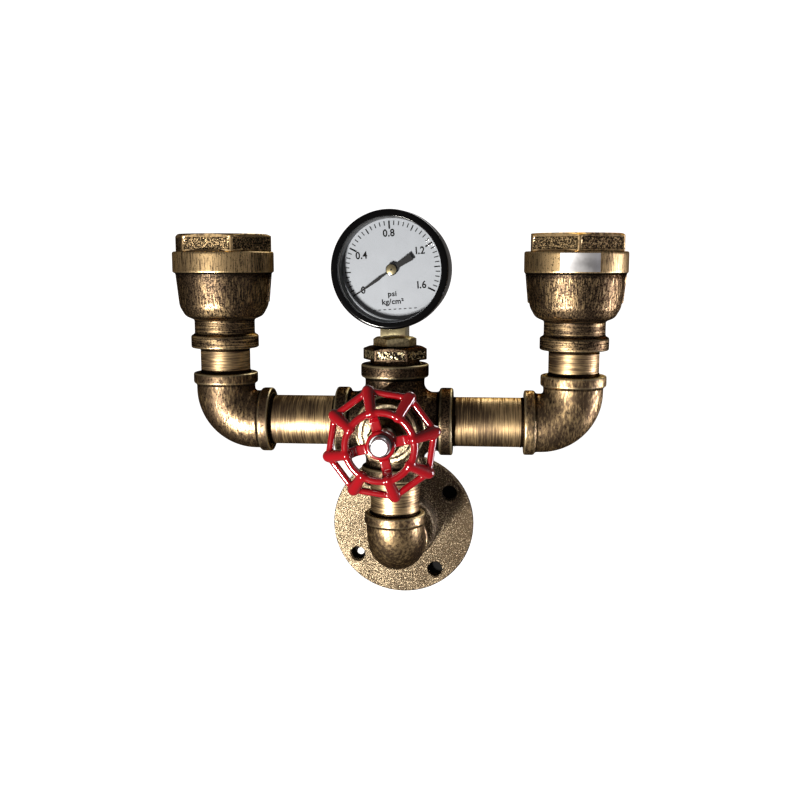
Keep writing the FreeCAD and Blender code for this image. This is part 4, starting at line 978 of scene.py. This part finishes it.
def make_pointer():
    """Fine blade with a thicker middle, a broad square tail and a brass boss with a punch mark."""
    upright = facing @ spin(POINTER_REST) @ Matrix.Translation((0, 0, POINTER_LEVEL)) @ spin(90, "X")
    blade = extruded([(1.0, 0.55), (1.0, -0.55), (6.0, -0.45), (9.0, -0.85), (23.6, -0.15), (23.6, 0.15),
                      (9.0, 0.85), (6.0, 0.45)], 0.5, upright)
    tail = extruded([(-1.0, 1.1), (-12.5, 1.6), (-12.5, -2.4), (-1.0, -1.1)], 0.5, upright)
    hub = turned([(0, 9.6), (3.1, 9.6), (3.1, 10.8, 0.5), (0, 10.8)], facing, 96)
    piece("pointer_hand", [blade, tail, hub], pointer_black, "pointer", ["gauge_pointer"])
    boss = turned([(0, 10.7), (2.7, 10.7), (2.7, 11.0, 0.12), (0.55, 11.1), (0.45, 10.82), (0, 10.82)],
                  facing, 64, 3)
    piece("pointer_boss", [boss], machined_brass, "pointer")
    mark = turned([(0, 10.825), (0.54, 10.825), (0.5, 11.12), (0, 11.12)], facing, 32)
    piece("boss_punch_mark", [mark], pointer_black, "pointer")


def make_gauge():
    inner, floor_level, step = CASE_R - CASE_WALL, CASE_BACK + CASE_WALL, 1.2
    case = turned([(0, CASE_BACK), (CASE_R, CASE_BACK, 3.0), (CASE_R, CASE_FRONT), (inner, CASE_FRONT),
                   (inner, DIAL_BACK), (inner - step, DIAL_BACK), (inner - step, DIAL_BACK - step),
                   (inner, DIAL_BACK - 2 * step), (inner, floor_level, 2.1), (0, floor_level)], segments=192)
    case = cut_away(rough_object([case]), [slab((-6.85, -35, -6.85), (6.85, -15, 6.85))])
    case.data.transform(facing)
    pan = piece("gauge_pan", case, gloss_black, instead_of=["gauge_case"])
    back_r, seat = CASE_R + 0.1, BEZEL_FRONT - 1.7
    rim = turned([(back_r, BEZEL_BACK), (BEZEL_R, BEZEL_BACK), (BEZEL_R, BEZEL_FRONT, 1.5),
                  (BEZEL_OPEN_R + 0.4, BEZEL_FRONT, 0.4), (BEZEL_OPEN_R, seat), (back_r, seat)], facing, 192)
    rim = piece("gauge_rim", [rim], gloss_black, instead_of=["gauge_bezel"])
    foot, edge = DIAL_FRONT + 0.05, BEZEL_OPEN_R - 0.4
    cone = turned([(edge, foot), (inner - 0.1, foot), (inner - 0.1, CASE_FRONT), (BEZEL_OPEN_R, CASE_FRONT),
                   (edge, foot + 0.8)], facing, 192)
    cone = piece("gauge_cone", [cone], ring_grey, instead_of=["gauge_inner_ring"])
    for surround in (pan, rim, cone):
        surround.visible_shadow = False
    make_pointer()
    dressed("gauge_dial", dial_paint)
    dressed("gauge_window", clear_glass)
    dressed("gauge_socket", machined_brass, edge=0.35)
    make_dial_print()


# ------------------------ handwheel
def make_handwheel():
    rib_foot, rib_tip = Vector((WHEEL_RING_R, 0, WHEEL_RING_RISE)), Vector((WHEEL_TIP_R, 0, 0))
    rib_way = rib_tip - rib_foot
    rib_place, rib_end = along(rib_way, rib_foot), rib_way.length + 3.15
    cast = bmesh.new()
    take_in(cast, grown(wheel_tree(), {"Corners": WHEEL_RIBS, "Rim radius": WHEEL_TIP_R,
                                       "Ring radius": WHEEL_RING_R, "Ring rise": WHEEL_RING_RISE,
                                       "Bar radius": 1.9, "Finish": red_enamel}))
    parts = [cast]
    for i in range(WHEEL_RIBS):
        rib = turned([(0, -2.4), (2.4, -2.4, 2.2), (3.15, rib_end, 3.0), (0, rib_end)], rib_place)
        rib.transform(spin(360 / WHEEL_RIBS * i))
        parts.append(rib)
    spoke = [(5.7, 1.2), (11.8, 1.2), (WHEEL_RING_R, 6.6), (WHEEL_RING_R, 8.8), (13.4, 6.4, 1.0),
             (11.8, 4.2, 0.6), (5.7, 4.2)]
    for i in range(WHEEL_SPOKES):
        parts.append(extruded(spoke, 5.0, spin(360 / WHEEL_SPOKES * i)))
    parts.append(turned([(0, -3.0), (7.2, -3.0, 0.6), (7.2, 5.5, 1.0), (0, 5.5)]))
    recess = turned([(0, 3.5), (5.6, 3.5, 0.4), (5.6, 6.0), (0, 6.0)])
    bore = turned([(0, -4), (3.08, -4), (3.08, 4), (0, 4)], segments=96)
    wheel = cut_away(melted(parts, 0.32, 18), [recess, bore])
    wheel.data.transform(along(-Y_AXIS, CROSS + Vector((0, -WHEEL_RIM, 0)), WHEEL_TURN))
    piece("wheel_casting", wheel, red_enamel, "handwheel", ["handwheel"], 40)
    dressed("wheel_spindle", spindle_painted_shade, edge=0.3)
    dressed("wheel_washers", bolt_chrome, edge=0.12)
    dressed("wheel_bolt", bolt_chrome, edge=0.25)


# ------------------------ build
make_flange()
make_pipe("flange_tube", "flange_nipple", -Y_AXIS, Vector(), (FLANGE_HIGH, REACH - ELBOW_LEG),
          bronze_along_z, FLANGE_HOLD)
lower_corner = Vector((0, -REACH, 0))
make_elbow("lower_elbow_casting", "lower_elbow", Matrix.Translation(lower_corner) @ spin(90),
           bronze_lower_elbow, LOWER_BEAD_R, LOWER_TOP_LEG, LOWER_TOP_HOLD)
make_pipe("riser_tube", "riser_nipple", Z_AXIS, lower_corner, (LOWER_TOP_LEG, RISE - CROSS_LEG),
          bronze_along_z, LOWER_TOP_HOLD)
make_cross()
for lamp_side, lamp_x in ARMS.items():
    make_lamp(lamp_side, lamp_x)
make_label()
plug_foot = CROSS_LEG + PLUG_SHOW
make_hexagon("top_hexagon", "top_bushing", along(Z_AXIS, CROSS + Vector((0, 0, plug_foot)), -3.0),
             (plug_bronze, panel_gold), {**PLUG, "panel": 0.3}, PIPE_R, PLUG_HOLD)
make_hexagon("front_hexagon", "front_bushing", along(-Y_AXIS, CROSS + Vector((0, -plug_foot, 0)), -3.0),
             (plug_bronze, face_brass), {**PLUG, "groove": (13.4, 12.2)}, PIPE_R, PLUG_HOLD)
make_hexagon("gauge_nut", "gauge_adapter", along(Z_AXIS, CROSS + Vector((0, 0, ADAPTER_LOW)), 14.0),
             (aged_brass, None), ADAPTER, ADAPTER_THREAD_R, ADAPTER_HOLD)
make_gauge()
make_handwheel()

# Hidden parts keep the solids' shapes and only take a finish.
movement = ["pinion_arbor", "sector_gear", "tip_link", "movement_back_plate", "movement_front_plate",
            "movement_pillars"]
inside = [(rubber, ["gauge_gasket"]), (sheet_brass, movement),
          (tube_bronze, ["hairspring", "bourdon_tube", "tube_tip"])]
for lamp_side in ARMS:
    inside += [(zinc, [lamp_side + "_clamp_plate", lamp_side + "_terminal_screws"]),
               (machined_brass, [lamp_side + "_terminals"]),
               (brown_cover, [lamp_side + "_live_lead"]), (blue_cover, [lamp_side + "_neutral_lead"])]
for inner_finish, inner_nodes in inside:
    for inner_node in inner_nodes:
        cad[inner_node].data.materials.clear()
        cad[inner_node].data.materials.append(inner_finish)

# ------------------------ stage, lights and camera
paper = new_finish("studio_paper", Roughness=1.0, Base_Color=colour(0.9, 0.9, 0.9),
                   Emission_Color=colour(1, 1, 1), Emission_Strength=1.0)[0]
# Stage discs behind the screw holes: a painted shade, and a painted patch of light.
wall_painted_shade = painted("wall_painted_shade", colour(0.006, 0.006, 0.006), 0.9, Specular_IOR_Level=0.1)
wall_painted_light = painted("wall_painted_light", colour(0.60, 0.60, 0.60), 0.9, Specular_IOR_Level=0.1)


def stage_piece(name, shape, finish):
    thing = rough_object([shape])
    thing.name = thing.data.name = name
    thing.data.materials.append(finish)
    return thing


def painted_wall_spot(angle, radius, depth, finish, across=0.0, up=0.0):
    """Disc behind a screw hole, painted as the wall seen through it: dark as painted shade, pale as a painted
    patch of light.
    """
    spot = bmesh.new()
    bmesh.ops.create_circle(spot, cap_ends=True, radius=radius, segments=48)
    out, level, side = at_angle(FLANGE_HOLE_OUT * MM, math.radians(angle), depth)
    spot.transform(Matrix.Translation((out + across, side, level + up)) @ spin(90, "X"))
    stage_piece("painted_wall_spot", spot, finish)


floor_shape = bmesh.new()
bmesh.ops.create_circle(floor_shape, cap_ends=True, radius=4.0, segments=64)
floor_shape.transform(Matrix.Translation((0, 0, -0.35)))
floor = stage_piece("studio_floor", floor_shape, paper)
dome_shape = bmesh.new()
bmesh.ops.create_icosphere(dome_shape, subdivisions=4, radius=4.5)
dome = stage_piece("studio_backdrop", dome_shape, paper)
# Painted shade behind every screw hole, and a painted patch of light in one of them.
for hole in range(FLANGE_HOLES):
    painted_wall_spot(hole_angle(hole), 0.0048, 0.0006, wall_painted_shade)
painted_wall_spot(hole_angle(2), 0.0021, 0.0003, wall_painted_light, 0.0012, 0.0002)
for screen in (floor, dome):
    screen.visible_diffuse = False
    screen.visible_glossy = False
    screen.visible_shadow = False

world = bpy.data.worlds.new("studio")
bpy.context.scene.world = world
world.use_nodes = True
background = world.node_tree.nodes["Background"]
background.inputs["Color"].default_value = colour(1.0, 0.93, 0.89)
background.inputs["Strength"].default_value = 0.145


def softbox(name, azimuth, elevation, distance, width, height, power, tint=(1, 1, 1)):
    """Rectangular light round the lamp; azimuth 0 is in front of it, negative to its left."""
    aim_at = Vector((0, -0.06, 0.07))
    az, el = math.radians(azimuth), math.radians(elevation)
    away = Vector((math.sin(az) * math.cos(el), -math.cos(az) * math.cos(el), math.sin(el)))
    lamp = bpy.data.lights.new(name, "AREA")
    lamp.shape = "RECTANGLE"
    lamp.size = width
    lamp.size_y = height
    lamp.energy = power
    lamp.color = tint
    thing = in_scene(name, lamp)
    thing.location = aim_at + away * distance
    thing.rotation_euler = away.to_track_quat("Z", "Y").to_euler()


softbox("key_light", -27, -24, 0.95, 0.14, 0.18, 28.0, (1.0, 0.955, 0.89))
softbox("side_light", 96, -10, 0.95, 0.22, 0.50, 8.0, (0.93, 0.90, 1.0))
softbox("back_light", 162, 42, 1.1, 0.60, 0.60, 6.0)

camera = in_scene("camera", bpy.data.cameras.new("camera"))
camera.data.sensor_width = 36.0
camera.data.lens = 44.63
camera.data.clip_start = 0.01
camera.location = (0.04997, -0.58885, 0.15954)
camera.rotation_euler = (math.pi / 2 - 0.1419, 0, 0.0888)
bpy.context.scene.camera = camera
bpy.context.scene.view_settings.view_transform = "Standard"
